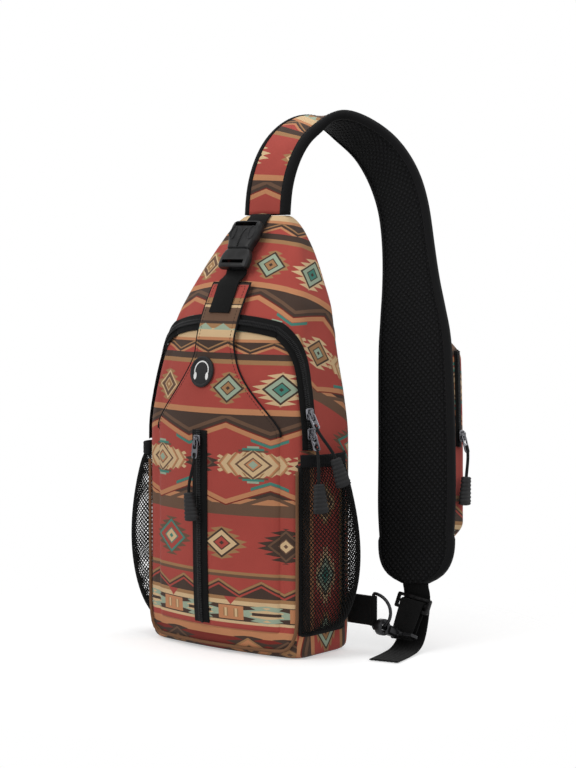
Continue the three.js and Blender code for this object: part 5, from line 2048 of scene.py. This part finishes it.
@dataclass
class StrapWebbing:
    """Ribbed webbing from the pad's end, behind the tri-glide, to its free tail on the floor."""

    width: float = 30.0
    thick: float = 1.5
    route: tuple = (
        (148.1, 72.2, 68.0), (148.2, 72.4, 61.7), (148.2, 74.2, 56), (148, 75, 46), (147.6, 72.6, 31),
        (147.8, 67.5, 16), (148.6, 61.5, 8), (150.4, 51, 3), (153.4, 36, 1.5), (157, 19, 1.2), (160, 4, 1.2),
    )

    def build(self) -> None:
        """Builds the webbing."""
        line = smooth_route(self.route, 90)
        stations = []
        for i, point in enumerate(line):
            along = direction(line, i)
            t = i / (len(line) - 1)
            wide = np.array([1 - 0.05 * t, 0.31 * t, 0])
            across = unit(wide - along * np.dot(wide, along))
            stations.append(Station(point, along, across, np.cross(across, along)))
        made = strip("strap_webbing_weave", stations, ribbed(self.width, self.thick), Finishes.WEBBING)
        dress(made, ["strap_webbing"])


def ribbed(width: float, thick: float) -> Outline:
    """Closed profile of a ribbed webbing.

    Args:
        width: the webbing's width.
        thick: its thickness.

    Returns:
        Distances across and out, once round.
    """
    half, h, ribs = width / 2, thick / 2, 7
    upper = []
    for u in np.linspace(half - 0.4, 0.4 - half, ribs * 6 + 1):
        wave = 0.5 - 0.5 * math.cos((u / (width - 0.8) + 0.5) * ribs * 2 * math.pi)
        upper.append((float(u), h * (0.72 + 0.28 * wave)))
    lower = [(u, -v) for u, v in reversed(upper)]
    return [(half, 0.0)] + upper + [(-half, 0.0)] + lower


@dataclass
class DRing:
    """Wire D-ring that the snap hook holds."""

    at: Point = (129.0, 30.0, 41.0)
    half: float = 17.0
    reach: float = 20.0
    wire: float = 1.6

    def build(self) -> None:
        """Builds the ring as one closed tube."""
        line = [(0.0, z) for z in np.linspace(-self.half + 1.5, self.half - 1.5, 16)]
        bow = np.linspace(0.06, math.pi - 0.06, 56)
        line += [(self.reach * math.sin(a), self.half * math.cos(a)) for a in bow]
        points = np.array([(self.at[0] + x, self.at[1], self.at[2] + z) for x, z in line])
        stations = []
        for i, point in enumerate(points):
            along = unit(points[(i + 1) % len(points)] - points[i - 1])
            across = np.array([0.0, 1, 0])
            stations.append(Station(point, along, across, np.cross(along, across)))
        ring = oval(self.wire, self.wire, 16)
        made = strip("d_ring_wire", stations, ring, Finishes.BLACK_METAL, looped=True)
        dress(made, ["d_ring"], "d_ring_body")


@dataclass
class Hardware:
    """Clips, glide and short webbings at the strap's foot and at the buckle."""

    clips: tuple = (
        ("tri_glide", Finishes.BUCKLE, "buckle_plastic", ROOT, 0.6),
        ("hook_eye", Finishes.BLACK_METAL, "black_metal", ROOT, 0.6),
        ("snap_hook", Finishes.BLACK_METAL, "black_metal", "snap_hook_body", 0.7),
        ("hook_gate", Finishes.BLACK_METAL, "black_metal", "hook_gate_body", 0.4),
    )
    webbings: tuple = ("hook_webbing", "tab_webbing", "buckle_webbing_upper", "buckle_webbing_lower")
    webbing_edge: float = 0.35

    def build(self) -> None:
        """Builds each small part on its own body."""
        DRing().build()
        StrapWebbing().build()
        for node, finish, slot, body, round_by in self.clips:
            soft_copy(node, finish, body, round_by, 3)
        for node in self.webbings:
            soft_copy(node, Finishes.WEBBING, ROOT, self.webbing_edge)


# Whole bag and studio
@dataclass
class SlingBackpack:
    """Every sub-assembly, and each pull's swing, the end of its cord and the way that its grip hangs."""

    pulls: tuple = (
        ("front", 5, (-6.5, -2.6, -49), (0.12, 0.02, -1)),
        ("main_upper", 26, (23, 7, -40), (0.25, 0.18, -1)),
        ("main_lower", 22, (15, -10, -44), (0.12, -0.02, -1)),
        ("strap", 14, (7.6, -6.2, -42), (0.0, -0.1, -1)),
    )
    seat_out: float = 3.35

    def build(self) -> None:
        """Builds the pieces in order."""
        BagBody().build()
        FrontPanel().build()
        BackPanel().build()
        BasePiping().build()
        self.zips()
        for hand in (-1, 1):
            MeshPocket(hand).build()
        HeadphonePort().build()
        ShoulderStrap().build()
        StrapPocket().build()
        SideBuckle().build()
        Hardware().build()

    def zips(self) -> None:
        """Arch and front zips, and every pull."""
        bends = [ARCH_SIDE * math.cos(a) for a in np.linspace(0, math.pi, 90)]
        leg = np.linspace(ARCH_FOOT, ARCH_SHOULDER, 20)[:-1]
        arch = [(ARCH_SIDE, z) for z in leg] + [(s, arch_height(s)) for s in bends]
        arch += [(-ARCH_SIDE, z) for z in np.linspace(ARCH_SHOULDER, ARCH_FOOT, 20)[1:]]
        ZipRun("main", skin_stations(arch, MAIN_ZIP_OUT), 16.0).build()
        front = [(SKIN.front_side(FRONT_ZIP_X, z), z) for z in np.linspace(28, 213, 60)]
        ZipRun("front", skin_stations(front, FRONT_ZIP_OUT), 19.0).build()
        seat = [(SKIN.front_side(FRONT_ZIP_X, z), z) for z in (199, 203, 207)]
        near = [skin_stations(seat, FRONT_ZIP_OUT)[1]]
        for middle in (231, 213):
            seat = [(ARCH_SIDE, middle + step) for step in (-4, 0, 4)]
            near.append(skin_stations(seat, MAIN_ZIP_OUT)[1])
        near.append(StrapPocket().zip_station(PATH.share_at(206)))
        for station, (name, swing, cord, grip) in zip(near, self.pulls):
            ZipPull(name, station.point + station.normal * self.seat_out, station, swing, cord, grip).build()


@dataclass
class Studio:
    """Camera, soft lights, white backdrop and the floor that keeps the shadow."""

    eye: Point = (1.221, -1.455, 0.385)
    target: Point = (0.029, 0.024, 0.254)
    lens: float = 91.4
    glow: float = 0.32
    floor_half: float = 1500.0

    def build(self) -> None:
        """Sets up the shot."""
        scene = bpy.context.scene
        scene.view_settings.view_transform = "Standard"
        self.camera(scene)
        self.world(scene)
        self.lights()
        self.floor()

    def aim(self, eye: Point, target: Point) -> Euler:
        """Turn of a camera or lamp that looks from one place to another."""
        return (Vector(target) - Vector(eye)).to_track_quat("-Z", "Y").to_euler()

    def seen(self, graph: Graph) -> Field:
        """Mask of the rays that see a backdrop: camera, transmission and glossy ones.

        Args:
            graph: the graph to build in.

        Returns:
            The mask.
        """
        rays = graph.node("ShaderNodeLightPath").outputs
        made = graph.math("MAXIMUM", rays["Is Camera Ray"], rays["Is Transmission Ray"])
        return graph.math("MAXIMUM", made, rays["Is Glossy Ray"])

    def camera(self, scene: bpy.types.Scene) -> None:
        """Places the camera.

        Args:
            scene: the scene that it is for.
        """
        data = bpy.data.cameras.new("camera")
        data.lens = self.lens
        data.clip_start = 0.05
        made = bpy.data.objects.new("camera", data)
        made.location = self.eye
        made.rotation_euler = self.aim(self.eye, self.target)
        scene.collection.objects.link(made)
        scene.camera = made

    def world(self, scene: bpy.types.Scene) -> None:
        """White to the eye, softer as a light.

        Args:
            scene: the scene that it is for.
        """
        made = bpy.data.worlds.new("white_room")
        made.use_nodes = True
        scene.world = made
        graph = Graph(made.node_tree)
        back = made.node_tree.nodes["Background"]
        back.inputs["Color"].default_value = (1, 1, 1, 1)
        graph.feed(back.inputs["Strength"], self.seen(graph) * (1 - self.glow) + self.glow)

    def lights(self) -> None:
        """Large soft lamps."""
        lamps = (("key", (-0.5, -1.9, 1.7), 1.5, 24), ("fill", (2.1, -0.5, 1.1), 1.4, 7),
                 ("top", (0.1, 0.1, 2.2), 1.6, 14), ("rim", (0.9, 1.7, 1.3), 1.0, 9))
        for name, place, size, power in lamps:
            data = bpy.data.lights.new(name, "AREA")
            data.size = size
            data.energy = power
            made = bpy.data.objects.new(name, data)
            made.location = place
            made.rotation_euler = self.aim(place, (0, 0, 0.22))
            bpy.context.scene.collection.objects.link(made)

    def floor(self) -> None:
        """Pale floor that fades out into the backdrop."""
        far_out = self.floor_half
        corners = [(x * far_out, y * far_out, -0.4) for x, y in ((-1, -1), (1, -1), (1, 1), (-1, 1))]
        made = make_piece("floor", corners, [(0, 1, 2, 3)], Finishes.WHITE_INK)
        material = bpy.data.materials.new("floor_fade")
        material.use_nodes = True
        graph = Graph(material.node_tree)
        shader = material.node_tree.nodes["Principled BSDF"]
        shader.inputs["Base Color"].default_value = (0.82, 0.82, 0.82, 1)
        shader.inputs["Roughness"].default_value = 0.95
        shader.inputs["Specular IOR Level"].default_value = 0.0
        place = graph.node("ShaderNodeTexCoord")
        distance = graph.node("ShaderNodeVectorMath", operation="LENGTH")
        graph.feed(distance.inputs[0], place.outputs["Object"])
        far = Field(graph, distance.outputs["Value"])
        fade = graph.ramp((far - 0.1) / 0.3, [(0.0, (1, 1, 1)), (1.0, (0, 0, 0))], stepped=False)
        shader.inputs["Emission Color"].default_value = (1, 1, 1, 1)
        graph.feed(shader.inputs["Emission Strength"], self.seen(graph) * 0.42)
        graph.feed(shader.inputs["Alpha"], fade)
        made.data.materials[0] = material


def main() -> None:
    """Builds the bag and the studio, and removes objects left out of the scene."""
    logging.basicConfig(level=logging.INFO, format="%(name)s %(message)s")
    SlingBackpack().build()
    Studio().build()
    for spare in [o for o in bpy.data.objects if not o.users_collection]:
        bpy.data.objects.remove(spare)


if __name__ == "__main__":
    main()
